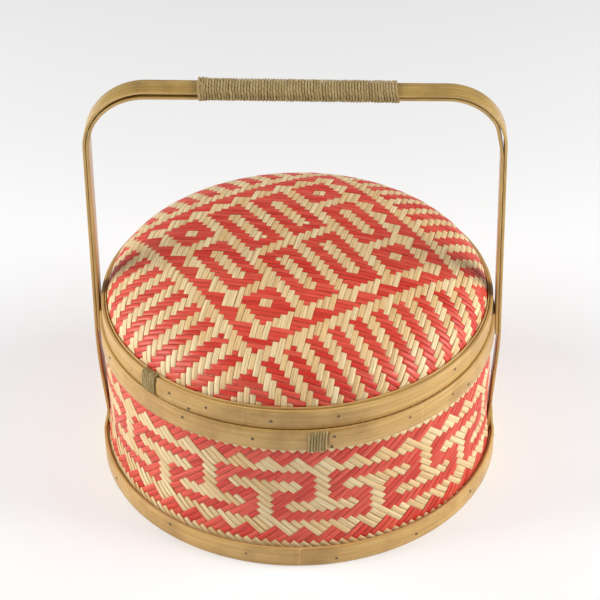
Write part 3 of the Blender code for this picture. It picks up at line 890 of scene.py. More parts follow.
@dataclass
class DrapedNet:
    """A net of equal meshes pulled over the dome, so that every splint keeps its length.

    Knots are places on the flat sheet, measured from the crown. One quadrant is worked out from the two
    straight lines through the crown, and the others mirror it.
    """

    surface: Callable[[float, float], tuple[float, float, float]]
    reach: float
    mesh: float = 4.0 * MM
    count: int = 40
    nudge: float = 0.01 * MM

    def __post_init__(self) -> None:
        """Settle the knots one by one."""
        size = self.count + 1
        self.knots = [[(i * self.mesh, j * self.mesh) for j in range(size)] for i in range(size)]
        for i in range(1, size):
            for j in range(1, size):
                self.knots[i][j] = self.settle(i, j)

    def settle(self, i: int, j: int) -> tuple[float, float]:
        """Find the place that lies one mesh away from the knot before it on both lines."""
        before, below, corner = self.knots[i - 1][j], self.knots[i][j - 1], self.knots[i - 1][j - 1]
        x, y = before[0] + below[0] - corner[0], before[1] + below[1] - corner[1]
        if math.hypot(x, y) > self.reach:
            return x, y
        ends = self.surface(*before), self.surface(*below)

        def misses(aside: float, back: float) -> list[float]:
            return [math.dist(self.surface(aside, back), end) - self.mesh for end in ends]

        for _ in range(6):
            here = misses(x, y)
            a, c = [(moved - miss) / self.nudge for moved, miss in zip(misses(x + self.nudge, y), here)]
            b, d = [(moved - miss) / self.nudge for moved, miss in zip(misses(x, y + self.nudge), here)]
            whole = a * d - b * c
            if abs(whole) < 0.01:
                break
            x -= (d * here[0] - b * here[1]) / whole
            y -= (a * here[1] - c * here[0]) / whole
        return x, y

    def at(self, aside: float, back: float) -> tuple[float, float]:
        """Where a place of the net comes to lie, between the four knots round it."""
        across, along = abs(aside) / self.mesh, abs(back) / self.mesh
        i, j = int(across), int(along)
        if max(i, j) >= self.count:
            return aside, back
        s, t = across - i, along - j
        shares = ((i, j, (1 - s) * (1 - t)), (i + 1, j, s * (1 - t)), (i, j + 1, (1 - s) * t), (i + 1, j + 1, s * t))
        x = sum(self.knots[m][n][0] * share for m, n, share in shares)
        y = sum(self.knots[m][n][1] * share for m, n, share in shares)
        return math.copysign(x, aside), math.copysign(y, back)


@dataclass
class DomeWeave:
    """The lid's dome: a sheet of splints pressed over a mould, with a diamond panel and stripes around it."""

    ring: RingSize = field(default_factory=lambda: ring_of("lid_dome"))
    spring: float = 128.8 * MM
    exponent: float = 2.4
    sink: float = 0.75 * MM
    turn: float = math.radians(-12.52)
    natural_pitch: float = 4.164 * MM
    natural_lean: float = -0.043 * MM
    natural_fan: float = -0.001 * MM
    natural_bow: tuple[float, float] = (-0.0025 * MM, 0.0009 * MM)
    dyed_pitch: float = 3.943 * MM
    dyed_fan: float = 0.0056 * MM
    dyed_bow: tuple[float, float] = (0.0064 * MM, -0.0004 * MM)
    panel_centre: tuple[float, float] = (-3.24 * MM, 3.01 * MM)
    panel_reach: int = 24
    end_gap: float = 1.5 * MM
    saw_period: int = 6
    sizes: SheetSizes = SheetSizes(width=3.86 * MM, thickness=0.5 * MM, eased_edge=0.16 * MM)
    profile_steps: int = 600
    seed: int = 23

    def __post_init__(self) -> None:
        """Measure the profile's length from the crown to the skirt's edge."""
        radius, rise = self.ring.outer - self.sink, self.ring.top - self.sink - self.spring
        self.profile: list[tuple[float, float, float]] = []
        length, last = 0.0, None
        for i in range(self.profile_steps + 1):
            part = math.sin(i / self.profile_steps * math.pi / 2)
            point = (radius * part, self.spring + rise * (1 - part * part) ** (1 / self.exponent))
            if last is not None:
                length += math.dist(point, last)
            self.profile.append((length, *point))
            last = point
        self.edge = length + self.spring - self.ring.bottom
        self.net = DrapedNet(self.surface, self.edge + 12 * MM)

    def on_profile(self, length: float) -> tuple[float, float]:
        """Radius and height at a length along the profile from the crown."""
        if length >= self.profile[-1][0]:
            return self.profile[-1][1], self.spring - (length - self.profile[-1][0])
        low, high = 0, len(self.profile) - 1
        while high - low > 1:
            half = (low + high) // 2
            low, high = (half, high) if self.profile[half][0] <= length else (low, half)
        before, after = self.profile[low], self.profile[high]
        share = (length - before[0]) / (after[0] - before[0])
        return before[1] + share * (after[1] - before[1]), before[2] + share * (after[2] - before[2])

    def surface(self, x: float, y: float) -> tuple[float, float, float]:
        """Point of the dome's sheet at a length and a direction from the crown."""
        length = math.hypot(x, y)
        radius, height = self.on_profile(length)
        share = radius / length if length > 1e-6 else 1.0
        return x * share, y * share, height

    def flat(self, natural: float, dyed: float) -> tuple[float, float]:
        """Where two splints cross, as a length and a direction from the crown.

        The natural splints lean a little, the dyed ones fan out to the right, and both bow slightly.

        Args:
            natural: Number of the natural splint, or a place between two.
            dyed: Number of the dyed splint.

        Returns:
            Distances to the right and to the back.
        """
        aside = (self.panel_centre[0] + natural * (self.natural_pitch + self.natural_fan * dyed)
                 + self.natural_lean * dyed + self.natural_bow[0] * natural ** 2
                 + self.natural_bow[1] * dyed ** 2)
        back = (self.panel_centre[1] + dyed * (self.dyed_pitch + self.dyed_fan * natural)
                + self.dyed_bow[0] * natural ** 2 + self.dyed_bow[1] * dyed ** 2)
        aside, back = self.net.at(aside, back)
        return (aside * math.cos(self.turn) - back * math.sin(self.turn),
                aside * math.sin(self.turn) + back * math.cos(self.turn))

    def place(self, natural: float, dyed: float) -> tuple[Vector, Vector]:
        """Middle of the dome's sheet where two splints cross, and the way out."""
        x, y = self.flat(natural, dyed)
        length = math.hypot(x, y)
        step = 0.6 * MM
        radius, height = self.on_profile(length)
        nearer, farther = self.on_profile(max(length - step, 0.0)), self.on_profile(length + step)
        slope = Vector((farther[0] - nearer[0], farther[1] - nearer[1])).normalized()
        way = Vector((x / length, y / length)) if length > 1e-6 else Vector((1.0, 0.0))
        outward = Vector((-slope.y * way.x, -slope.y * way.y, slope.x))
        return Vector((way.x * radius, way.y * radius, height)), outward

    def natural_on_top(self, natural: int, dyed: int) -> bool:
        """The panel's rule: framed bars inside, a sawn frame round them, and stripes that radiate outside."""
        p, q = natural - dyed, natural + dyed
        reach, beside = (abs(p), q) if abs(p) >= abs(q) else (abs(q), p)
        if reach > self.panel_reach + 7:
            return off_centre(beside, self.saw_period, self.saw_period / 2) > 1
        if reach > self.panel_reach + 4:
            return True
        if reach > self.panel_reach:
            return reach - self.panel_reach + off_centre(beside, self.saw_period, 0) <= 2
        if reach > self.panel_reach - 2:
            return True
        row = round((q - 6) / 12)
        above = abs(q - 6 - 12 * row)
        if above > 4:
            return True
        joints = (0,) if row in (-1, 0) else (-11, 11)
        joint = min(abs(p - place) for place in joints)
        if joint <= 1:
            return True
        return above <= 1 and joint > 4 and abs(p) <= 18

    def span(self, family: Splint, number: int) -> tuple[float, float] | None:
        """First and last place of a splint on the dome, counted in cells along it.

        Args:
            family: Natural or dyed.
            number: The splint's number.

        Returns:
            The two places, or None where the splint misses the dome.
        """
        def inside(along: float) -> bool:
            cell = (number, along) if family is Splint.NATURAL else (along, number)
            return math.hypot(*self.flat(*cell)) < self.edge - self.end_gap

        held = [along for along in range(-70, 71) if inside(along)]
        if len(held) < 4:
            return None
        ends = []
        for along, way in ((held[0], -1), (held[-1], 1)):
            low, high = 0.0, 1.0
            for _ in range(12):
                half = (low + high) / 2
                low, high = (half, high) if inside(along + way * half) else (low, half)
            ends.append(along + way * low)
        return ends[0], ends[1]

    def build(self, tree: bpy.types.NodeTree, finishes: dict[Splint, bpy.types.Material]) -> list[bpy.types.Object]:
        """Make the dome's natural and dyed splints."""
        rng = random.Random(self.seed)
        weave = Weave(self.place, self.natural_on_top, self.dyed_pitch)
        pieces = []
        for family in Splint:
            strands = []
            for number in range(-60, 61):
                ends = self.span(family, number)
                if ends is not None:
                    strands.append(weave.strand(family, number, *ends, rng))
            pieces.append(splint_piece(f"dome_{family.value}_splints", strands, self.sizes, tree, finishes[family]))
        return pieces


@dataclass
class FloorWeave:
    """The bin's floor: broad natural splints in a plain twill."""

    ring: RingSize = field(default_factory=lambda: ring_of("bin_floor"))
    pitch: float = 8.0 * MM
    sizes: SheetSizes = SheetSizes(width=7.4 * MM, thickness=0.55 * MM, eased_edge=0.18 * MM)
    inset: float = 0.8 * MM
    seed: int = 31

    def place(self, natural: float, dyed: float) -> tuple[Vector, Vector]:
        """Middle of the floor where two splints cross."""
        middle = (self.ring.bottom + self.ring.top) / 2
        return Vector((natural * self.pitch, dyed * self.pitch, middle)), Vector((0.0, 0.0, 1.0))

    def build(self, tree: bpy.types.NodeTree, finish: bpy.types.Material) -> bpy.types.Object:
        """Make the floor's splints."""
        rng = random.Random(self.seed)
        weave = Weave(self.place, lambda a, b: (a + b) % 4 < 2, self.pitch, lift=0.33 * MM, crown=0.0)
        radius = self.ring.outer - self.inset
        reach = int(radius / self.pitch)
        strands = []
        for family in Splint:
            for number in range(-reach, reach + 1):
                half = math.sqrt(radius ** 2 - (abs(number) * self.pitch + self.sizes.width / 2) ** 2) \
                    if abs(number) * self.pitch + self.sizes.width / 2 < radius else 0.0
                if half > self.pitch:
                    strands.append(weave.strand(family, number, -half / self.pitch, half / self.pitch, rng))
        return splint_piece("floor_splints", strands, self.sizes, tree, finish)


# ---------------------------------------------------------------------------------------------------------
# Hoops
# ---------------------------------------------------------------------------------------------------------


def rounded_outline(width: float, height: float, radius: float, steps: int = 2) -> list[tuple[float, float]]:
    """Corner-rounded rectangle round the origin, counterclockwise.

    Args:
        width: Size along the first axis.
        height: Size along the second axis.
        radius: Radius of the corners.
        steps: Segments in each corner.

    Returns:
        The outline's points.
    """
    points = []
    for corner, (side, end) in enumerate(((1, 1), (-1, 1), (-1, -1), (1, -1))):
        for i in range(steps + 1):
            angle = (corner + i / steps) * math.pi / 2
            points.append((side * (width / 2 - radius) + radius * math.cos(angle),
                           end * (height / 2 - radius) + radius * math.sin(angle)))
    return points


def loft(name: str, sections: Sequence[Section], lengths: Sequence[float], closed: bool,
         skins: Sequence[float]) -> bpy.types.Mesh:
    """Join sections into one closed skin, with UV in metres and the skin value of each section point.

    Args:
        name: Name of the mesh.
        sections: Rings of points, all of one count.
        lengths: Length along the piece at each section, with one more at the end of a closed piece.
        closed: Whether the last section joins the first.
        skins: The skin value of each point of a section.

    Returns:
        The mesh.
    """
    count = len(sections[0])
    around = [0.0]
    for i in range(count):
        around.append(around[-1] + (sections[0][(i + 1) % count] - sections[0][i]).length)
    shape = bmesh.new()
    uv_layer = shape.loops.layers.uv.new("UVMap")
    skin_layer = shape.verts.layers.float.new("skin")
    rings = []
    for section in sections:
        rings.append([shape.verts.new(point) for point in section])
        for vert, skin in zip(rings[-1], skins):
            vert[skin_layer] = skin
    spans = len(sections) if closed else len(sections) - 1
    for i in range(spans):
        here, there = rings[i], rings[(i + 1) % len(sections)]
        for j in range(count):
            k = (j + 1) % count
            face = shape.faces.new((here[j], here[k], there[k], there[j]))
            face.smooth = True
            corners = ((lengths[i], around[j]), (lengths[i], around[j + 1]),
                       (lengths[i + 1], around[j + 1]), (lengths[i + 1], around[j]))
            for loop, uv in zip(face.loops, corners):
                loop[uv_layer].uv = uv
    if not closed:
        for ring, length in ((rings[0], lengths[0]), (rings[-1], lengths[-1])):
            face = shape.faces.new(ring)
            for loop, place in zip(face.loops, around):
                loop[uv_layer].uv = (length, place)
    bmesh.ops.recalc_face_normals(shape, faces=shape.faces)
    mesh = bpy.data.meshes.new(name)
    shape.to_mesh(mesh)
    shape.free()
    return mesh


def joined(name: str, meshes: Sequence[bpy.types.Mesh]) -> bpy.types.Mesh:
    """Put several meshes with the same layers into one and remove them."""
    shape = bmesh.new()
    for mesh in meshes:
        shape.from_mesh(mesh)
        bpy.data.meshes.remove(mesh)
    whole = bpy.data.meshes.new(name)
    shape.to_mesh(whole)
    shape.free()
    return whole


@dataclass(frozen=True)
class Lap:
    """The overlapping end of a hoop: where it starts, how thick it is there and how long it tapers."""

    angle: float
    step: float = 1.0 * MM
    length: float = 70 * MM
    corner: float = 4.0 * MM
    inset: float = 0.5 * MM


@dataclass
class Hoop:
    """A bent bamboo hoop round the basket, whole or in arcs, with an overlapping end where it has one."""

    node: str
    body: Body
    lap: Lap | None = None
    seam: float | None = None
    seam_width: float = 0.12 * MM
    arcs: tuple[tuple[float, float], ...] = ()
    edge: float = 0.55 * MM
    bow: float = 0.12 * MM
    pinch: float = 0.0
    pinch_reach: float = 16.0 * MM
    sections: int = 240
    shape: RingSize | None = None
    ring: RingSize = field(init=False)

    def __post_init__(self) -> None:
        """Measure the CAD node, unless the hoop is given a shape of its own."""
        self.ring = self.shape or ring_of(self.node)
        rng = random.Random(self.node)
        self.phases = [rng.uniform(0, FULL_TURN) for _ in range(3)]

    def sway(self, angle: float) -> float:
        """How far the hoop stands off a true circle at an angle; beside a leg of the handle it is drawn in."""
        bow = self.bow * sum(math.sin(k * angle + phase) for k, phase in zip((2, 3, 4), self.phases)) / 3
        aside = min(abs(math.sin(angle)) * self.ring.outer / self.pinch_reach, 1.0)
        return bow - self.pinch * (1 + math.cos(aside * math.pi)) / 2

    def face(self, angle: float) -> float:
        """Distance of the outer face from the axis at an angle, with the lap where it lies on the hoop."""
        lap = 0.0
        if self.lap is not None:
            along = ((angle - self.lap.angle + math.pi) % FULL_TURN - math.pi) * self.ring.outer
            if 0.0 <= along <= self.lap.length:
                lap = self.lap.step * (1 - along / self.lap.length)
        return self.ring.outer + self.sway(angle) + lap

    def section(self, angle: float, inner: float, outer: float, bottom: float, top: float) -> Section:
        """One rounded cross-section of the hoop at an angle."""
        way = Vector((math.cos(angle), math.sin(angle), 0.0))
        middle = way * ((inner + outer) / 2) + Vector((0.0, 0.0, (bottom + top) / 2))
        edge = min(self.edge, (outer - inner) * 0.45, (top - bottom) * 0.45)
        return [middle + way * x + Vector((0.0, 0.0, y))
                for x, y in rounded_outline(outer - inner, top - bottom, edge)]

    @staticmethod
    def skins() -> list[float]:
        """The skin value of each point of a section: 1 outside, -1 inside."""
        return [1.0 if x > 0 else -1.0 for x, _ in rounded_outline(4.0, 4.0, 1.0)]

    def band(self, start: float, end: float, closed: bool) -> bpy.types.Mesh:
        """The hoop's body from one angle to another."""
        count = max(8, round(self.sections * abs(end - start) / FULL_TURN))
        angles = [start + (end - start) * i / count for i in range(count if closed else count + 1)]
        sections, lengths = [], []
        for angle in angles:
            sway = self.sway(angle)
            sections.append(self.section(angle, self.ring.inner + sway, self.ring.outer + sway,
                                         self.ring.bottom, self.ring.top))
            lengths.append(angle * self.ring.outer)
        lengths.append(end * self.ring.outer)
        return loft(self.node, sections, lengths, closed, self.skins())

    def tongue(self, lap: Lap) -> bpy.types.Mesh:
        """The overlapping end: full at its rounded tip, tapering into the hoop."""
        steps = [lap.corner * (1 - math.cos(i / 6 * math.pi / 2)) for i in range(1, 7)]
        steps += [lap.corner + (lap.length - lap.corner) * i / 24 for i in range(1, 25)]
        sections, lengths = [], []
        middle = (self.ring.bottom + self.ring.top) / 2
        half = (self.ring.top - self.ring.bottom) / 2 - lap.inset
        for step in [0.05 * MM] + steps:
            into = max(lap.corner - step, 0.0)
            tall = half - lap.corner + math.sqrt(max(lap.corner ** 2 - into ** 2, 0.0))
            thick = lap.step * (1 - step / lap.length) + 0.02 * MM
            angle = lap.angle + step / self.ring.outer
            outer = self.ring.outer + self.sway(angle)
            sections.append(self.section(angle, outer - 0.3 * MM, outer + thick, middle - tall, middle + tall))
            lengths.append(5.0 + step)
        return loft(f"{self.node}_lap", sections, lengths, False, self.skins())

    def build(self, finish: bpy.types.Material) -> bpy.types.Object:
        """Make the hoop and put it in the CAD node's place."""
        if self.arcs:
            meshes = [self.band(start, end, False) for start, end in self.arcs]
        elif self.seam is not None:
            gap = self.seam_width / self.ring.outer / 2
            meshes = [self.band(self.seam + gap, self.seam + FULL_TURN - gap, False)]
        else:
            meshes = [self.band(0.0, FULL_TURN, True)]
        if self.lap is not None:
            meshes.append(self.tongue(self.lap))
        obj = link_object(f"{self.node}_strip", joined(self.node, meshes))
        obj.data.materials.append(finish)
        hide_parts(self.node)
        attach(obj, self.body.value)
        return obj


# ---------------------------------------------------------------------------------------------------------
# Handle
# ---------------------------------------------------------------------------------------------------------


@dataclass(frozen=True)
class LegShape:
    """How one leg of the handle runs.

    side is 1 on the right and -1 on the left. shoulder is the radius of the outer strip's bend, stand_out how
    far the leg stands outward above the rim, and drawn_in how far it lies nearer the wall below it. touching
    is the gap between the strips, parting what it grows by under the shoulder, and rise lifts the outer strip
    at the bar.
    """

    side: int
    shoulder: float
    stand_out: float
    drawn_in: float
    touching: float
    parting: float
    rise: float


@dataclass
class Handle:
    """Two nested bamboo strips, bent at the shoulders and spread by the hoops at the foot."""

    width: float = 16.0 * MM
    thickness: float = 2.1 * MM
    edge: float = 0.6 * MM
    foot_face: float = 138.8 * MM
    rim_face: float = 143.8 * MM
    shoulder_face: float = 142.2 * MM
    outer_foot: float = 1.0 * MM
    upright_to: float = 16.0 * MM
    inner_foot: float = 98.4 * MM
    shoulder_height: float = 259.0 * MM
    parted_span: tuple[float, float] = (247.0 * MM, 272.0 * MM)
    outer_top: float = 295.0 * MM
    inner_top: float = 292.4 * MM
    leg_step: float = 5.0 * MM
    shoulder_steps: int = 18
    legs: tuple[LegShape, LegShape] = (
        LegShape(side=1, shoulder=41.0 * MM, stand_out=-0.2 * MM, drawn_in=0.8 * MM, touching=0.15 * MM,
                 parting=1.4 * MM, rise=0.0),
        LegShape(side=-1, shoulder=44.0 * MM, stand_out=-0.1 * MM, drawn_in=0.0, touching=0.1 * MM,
                 parting=0.2 * MM, rise=1.5 * MM),
    )

    def face(self, leg: LegShape, height: float) -> float:
        """Distance of the outer strip's outer face from the middle, at a height on a leg."""
        if height < self.inner_foot:
            share = max(height - self.upright_to, 0.0) / (self.inner_foot - self.upright_to)
            spread = (self.rim_face - self.foot_face) * math.sin(share * math.pi / 2) ** 1.15
            return self.foot_face + spread - leg.drawn_in * math.sin(share * math.pi)
        share = (height - self.inner_foot) / (self.shoulder_height - self.inner_foot)
        bulge = leg.stand_out * math.sin(min(share * 3, 1.0) * math.pi / 2)
        return blend_between(self.rim_face, self.shoulder_face, share) + bulge

    def parted(self, leg: LegShape, height: float) -> float:
        """How far the inner strip bows away from the outer one under the shoulder, above the lifted lid."""
        low, high = self.parted_span
        share = min(max((height - low) / (high - low), 0.0), 1.0)
        return leg.parting * math.sin(math.pi * share ** 1.2)

    def half(self, leg: LegShape, inner: bool) -> list[tuple[float, float, float, float]]:
        """The middle line of a strip from one foot to the middle of the bar.

        Args:
            leg: The leg on this side.
            inner: Whether it is the inner strip.

        Returns:
            Distance outward, height, and the two parts of the outward direction at each point.
        """
        foot, top = (self.inner_foot, self.inner_top) if inner else (self.outer_foot, self.outer_top)
        nested = self.thickness + leg.touching if inner else 0.0
        radius = leg.shoulder - nested
        rise = 0.0 if inner else leg.rise
        bend, middle = top - radius, self.thickness / 2

        def bowed(height: float) -> float:
            return self.parted(leg, height) if inner else 0.0

        count = round((bend - foot) / self.leg_step)
        points: list[tuple[float, float, float, float]] = []
        for i in range(count):
            height = foot + (bend - foot) * i / count
            points.append((self.face(leg, height) - nested - bowed(height) - middle, height, 1.0, 0.0))
        centre = self.face(leg, bend) - nested - radius
        for i in range(self.shoulder_steps + 1):
            angle = i / self.shoulder_steps * math.pi / 2
            reach = radius - middle - bowed(bend + radius * math.sin(angle))
            lift = rise * math.sin(angle) ** 2
            points.append((centre + reach * math.cos(angle), bend + reach * math.sin(angle) + lift,
                           math.cos(angle), math.sin(angle)))
        return points + [(centre * (1 - i / 12), top - middle + rise * (1 - 0.5 * i / 12), 0.0, 1.0)
                         for i in range(1, 12)]

    def route(self, inner: bool) -> Strand:
        """The middle line of a whole strip, from the right foot over the bar to the left foot."""
        strand = Strand()
        rise = 0.0 if inner else sum(leg.rise for leg in self.legs) / 2
        top = (self.inner_top if inner else self.outer_top) - self.thickness / 2 + rise
        right, left = self.legs
        routes = ((right.side, self.half(right, inner)), (1, [(0.0, top, 0.0, 1.0)]),
                  (left.side, self.half(left, inner)[::-1]))
        for side, points in routes:
            for x, z, out_x, out_z in points:
                strand.add(Vector((side * x, 0.0, z)), Vector((side * out_x, 0.0, out_z)))
        return strand

    def build(self, tree: bpy.types.NodeTree, finish: bpy.types.Material) -> list[bpy.types.Object]:
        """Make the two strips of the handle."""
        pieces = []
        for node, inner in (("handle_outer_strip", False), ("handle_inner_strip", True)):
            obj = grow(f"{node}_bent", strand_mesh(node, [self.route(inner)]), tree,
                       {"Width": self.width, "Thickness": self.thickness, "Eased Edge": self.edge,
                        "Edge Points": 3, "Finish": finish})
            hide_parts(node)
            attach(obj, Body.BASKET.value)
            pieces.append(obj)
        return pieces


@dataclass
class GripWinding:
    """Jute cord wound round the bar, turn against turn, with its first turns standing higher."""

    turns: int = 69
    diameter: float = 1.8 * MM
    lean: float = 0.3 * MM
    centre: float = 2.7 * MM
    half_length: float = 66.1 * MM
    left_rise: float = 1.3 * MM
    half_width: float = 9.15 * MM
    half_height: float = 3.4 * MM
    centre_height: float = 292.85 * MM
    points_per_turn: int = 26
    squareness: float = 4.5
    seed: int = 41

    def around(self, angle: float, swell: float) -> tuple[float, float]:
        """Side and height of the cord's middle at an angle round the bar."""
        power = 2 / self.squareness
        side = math.copysign(abs(math.cos(angle)) ** power, math.cos(angle)) * (self.half_width + swell)
        rise = math.copysign(abs(math.sin(angle)) ** power, math.sin(angle)) * (self.half_height + swell)
        return side, rise

    def build(self, tree: bpy.types.NodeTree, finish: bpy.types.Material) -> bpy.types.Object:
        """Make the winding and its tucked end."""
        rng = random.Random(self.seed)
        swells = [rng.uniform(-0.12, 0.20) * MM for _ in range(self.turns + 2)]
        for i, extra in enumerate((0.55, 0.75, 0.45, 0.2)):
            swells[i] += extra * MM
        slips = [rng.uniform(-0.22, 0.22) * MM for _ in range(self.turns + 2)]
        winding = Strand()
        total = self.turns * self.points_per_turn
        for i in range(total + 1):
            turn, share = divmod(i / self.points_per_turn, 1.0)
            turn = int(turn)
            swell = blend_between(swells[turn], swells[turn + 1], share)
            slip = blend_between(slips[turn], slips[turn + 1], share)
            side, rise = self.around(share * FULL_TURN - math.pi / 2, swell)
            x = self.centre - self.half_length + 2 * self.half_length * i / total + slip
            lean = self.lean * (1 + math.sin(turn * 0.21)) * math.sin(share * FULL_TURN - math.pi / 2)
            lift = self.left_rise * (1 - i / total)
            winding.add(Vector((x - lean, side, self.centre_height + rise + lift)), Vector((0.0, 0.0, 1.0)))
        tail = Strand()
        for i in range(15):
            share = i / 14
            x = self.centre - self.half_length + (2.0 - 2.6 * share + 3.2 * math.sin(share * math.pi)) * MM
            side = blend_between(-self.half_width - 0.2 * MM, self.half_width * 0.2, share)
            lift = (self.half_height + 1.0 * MM) * math.sin(min(share * 3.2, 1.0) * math.pi / 2) + self.left_rise
            tail.add(Vector((x, side, self.centre_height + lift)), Vector((0.0, 0.0, 1.0)))
        obj = grow("grip_winding", strand_mesh("grip_winding", [winding, tail]), tree,
                   {"Diameter": self.diameter, "Sides": 8, "Finish": finish})
        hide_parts("grip_wrap")
        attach(obj, Body.BASKET.value)
        return obj


@dataclass
class Lashing:
    """Cord bound round a hoop's overlap and through the weave behind it."""

    node: str
    body: Body
    angle: float
    inner: float
    outer: float
    bottom: float
    top: float
    loops: int = 7
    pitch: float = 1.85 * MM
    diameter: float = 1.6 * MM
    lean: float = 0.5 * MM
    points: int = 28

    def build(self, tree: bpy.types.NodeTree, finish: bpy.types.Material) -> bpy.types.Object:
        """Make the lashing's loops as one cord."""
        rng = random.Random(self.node)
        strand = Strand()
        middle = (self.inner + self.outer) / 2
        half_deep = (self.outer - self.inner - self.diameter) / 2
        half_tall = (self.top - self.bottom - self.diameter) / 2
        total = self.loops * self.points
        jitters = [rng.uniform(-0.12, 0.12) * MM for _ in range(self.loops + 2)]
        for i in range(total + 1):
            turn, share = divmod(i / self.points, 1.0)
            turn = int(turn)
            turned = share * FULL_TURN + math.pi
            power = 2 / 5
            deep = math.copysign(abs(math.cos(turned)) ** power, math.cos(turned)) * half_deep
            tall = math.copysign(abs(math.sin(turned)) ** power, math.sin(turned)) * half_tall
            aside = (i / total - 0.5) * self.loops * self.pitch + self.lean * tall / half_tall / 2
            aside += blend_between(jitters[turn], jitters[turn + 1], share)
            angle = self.angle + aside / self.outer
            radius = middle + deep
            strand.add(Vector((radius * math.cos(angle), radius * math.sin(angle),
                               (self.bottom + self.top) / 2 + tall)),
                       Vector((math.cos(angle), math.sin(angle), 0.0)))
        obj = grow(f"{self.node}_cord", strand_mesh(self.node, [strand]), tree,
                   {"Diameter": self.diameter, "Sides": 8, "Finish": finish})
        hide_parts(self.node)
        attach(obj, self.body.value)
        return obj


@dataclass
class Nails:
    """The nails of one body, each a flat head on a hoop or a leg."""

    name: str
    body: Body
    spots: list[tuple[Vector, Vector]] = field(default_factory=list)
    diameter: float = 2.2 * MM
    rise: float = 0.45 * MM
    spread: float = 0.15
    seed: int = 3

    def on_hoop(self, hoop: Hoop, places: Sequence[tuple[float, float]]) -> None:
        """Add nails on a hoop's outer face.

        Args:
            hoop: The hoop.
            places: Angle in degrees and height in millimetres of each nail.
        """
        for degrees, height in places:
            angle = math.radians(degrees)
            way = Vector((math.cos(angle), math.sin(angle), 0.0))
            self.spots.append((way * hoop.face(angle) + Vector((0.0, 0.0, height * MM)), way))

    def build(self, tree: bpy.types.NodeTree, finish: bpy.types.Material) -> bpy.types.Object:
        """Make the nail heads as one piece."""
        mesh = bpy.data.meshes.new(self.name)
        mesh.from_pydata([spot for spot, _ in self.spots], [], [])
        outward = mesh.attributes.new("outward", "FLOAT_VECTOR", "POINT")
        outward.data.foreach_set("vector", [c for _, way in self.spots for c in way])
        obj = grow(self.name, mesh, tree, {"Diameter": self.diameter, "Rise": self.rise,
                                           "Size Spread": self.spread, "Seed": self.seed, "Finish": finish})
        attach(obj, self.body.value)
        return obj


# ---------------------------------------------------------------------------------------------------------
# Studio
# ---------------------------------------------------------------------------------------------------------


@dataclass
class Studio:
    """Plain floor, soft light and the photograph's camera."""

    floor_size: float = 12.0
    world_light: float = 0.29
    azimuth: float = 0.0402
    elevation: float = 0.6372
    roll: float = -0.0153
    distance: float = 1.6
    lens: float = 136.25
    target: tuple[float, float, float] = (0.0019, 0.0, 0.1214)

    def floor(self, finish: bpy.types.Material) -> None:
        """Lay the floor."""
        half = self.floor_size / 2
        mesh = bpy.data.meshes.new("studio_floor")
        mesh.from_pydata([(-half, -half, 0), (half, -half, 0), (half, half, 0), (-half, half, 0)], [],
                         [(0, 1, 2, 3)])
        obj = link_object("studio_floor", mesh)
        mesh.materials.append(finish)

    def lamp(self, name: str, place: tuple[float, float, float], size: float, power: float, colour: str) -> None:
        """Hang a square soft lamp that faces the basket.

        Args:
            name: Name of the lamp.
            place: Where it hangs, in metres.
            size: Side of the square in metres.
            power: Power in watts.
            colour: sRGB hex colour.
        """
        light = bpy.data.lights.new(name, "AREA")
        light.shape = "SQUARE"
        light.size = size
        light.energy = power
        light.color = linear(colour)[:3]
        obj = bpy.data.objects.new(name, light)
        obj.location = place
        obj.rotation_euler = (Vector(self.target) - Vector(place)).to_track_quat("-Z", "Y").to_euler()
        bpy.context.scene.collection.objects.link(obj)

    def world(self) -> None:
        """Light the whole scene evenly from a pale surround."""
        world = bpy.data.worlds.new("studio_surround")
        world.use_nodes = True
        background = world.node_tree.nodes["Background"]
        background.inputs["Color"].default_value = linear("f7f8fb")
        background.inputs["Strength"].default_value = self.world_light
        bpy.context.scene.world = world

    def camera(self) -> None:
        """Set the camera where the photograph was taken from."""
        back = Vector((math.sin(self.azimuth) * math.cos(self.elevation),
                       -math.cos(self.azimuth) * math.cos(self.elevation), math.sin(self.elevation)))
        right = Vector((math.cos(self.azimuth), math.sin(self.azimuth), 0.0))
        up = back.cross(right)
        level = math.cos(self.roll) * right + math.sin(self.roll) * up
        upright = math.cos(self.roll) * up - math.sin(self.roll) * right
        camera = bpy.data.cameras.new("photograph_view")
        camera.lens = self.lens
        camera.sensor_width = 36.0
        camera.clip_end = 50.0
        obj = bpy.data.objects.new("photograph_view", camera)
        matrix = obj.matrix_world.copy()
        for column, axis in enumerate((level, upright, back)):
            for row in range(3):
                matrix[row][column] = axis[row]
        matrix.translation = Vector(self.target) + back * self.distance
        obj.matrix_world = matrix
        bpy.context.scene.collection.objects.link(obj)
        bpy.context.scene.camera = obj

    def build(self) -> None:
        """Set up floor, light and camera."""
        self.floor(BackdropFinish().material())
        self.world()
        self.lamp("left_lamp", (-1.61, -0.14, 0.91), 1.2, 31.0, "fffaf3")
        self.lamp("right_lamp", (1.61, -0.14, 0.91), 1.2, 33.0, "fffaf3")
        self.camera()
        bpy.context.scene.view_settings.view_transform = "Standard"


# ---------------------------------------------------------------------------------------------------------
# Assembly
# ---------------------------------------------------------------------------------------------------------


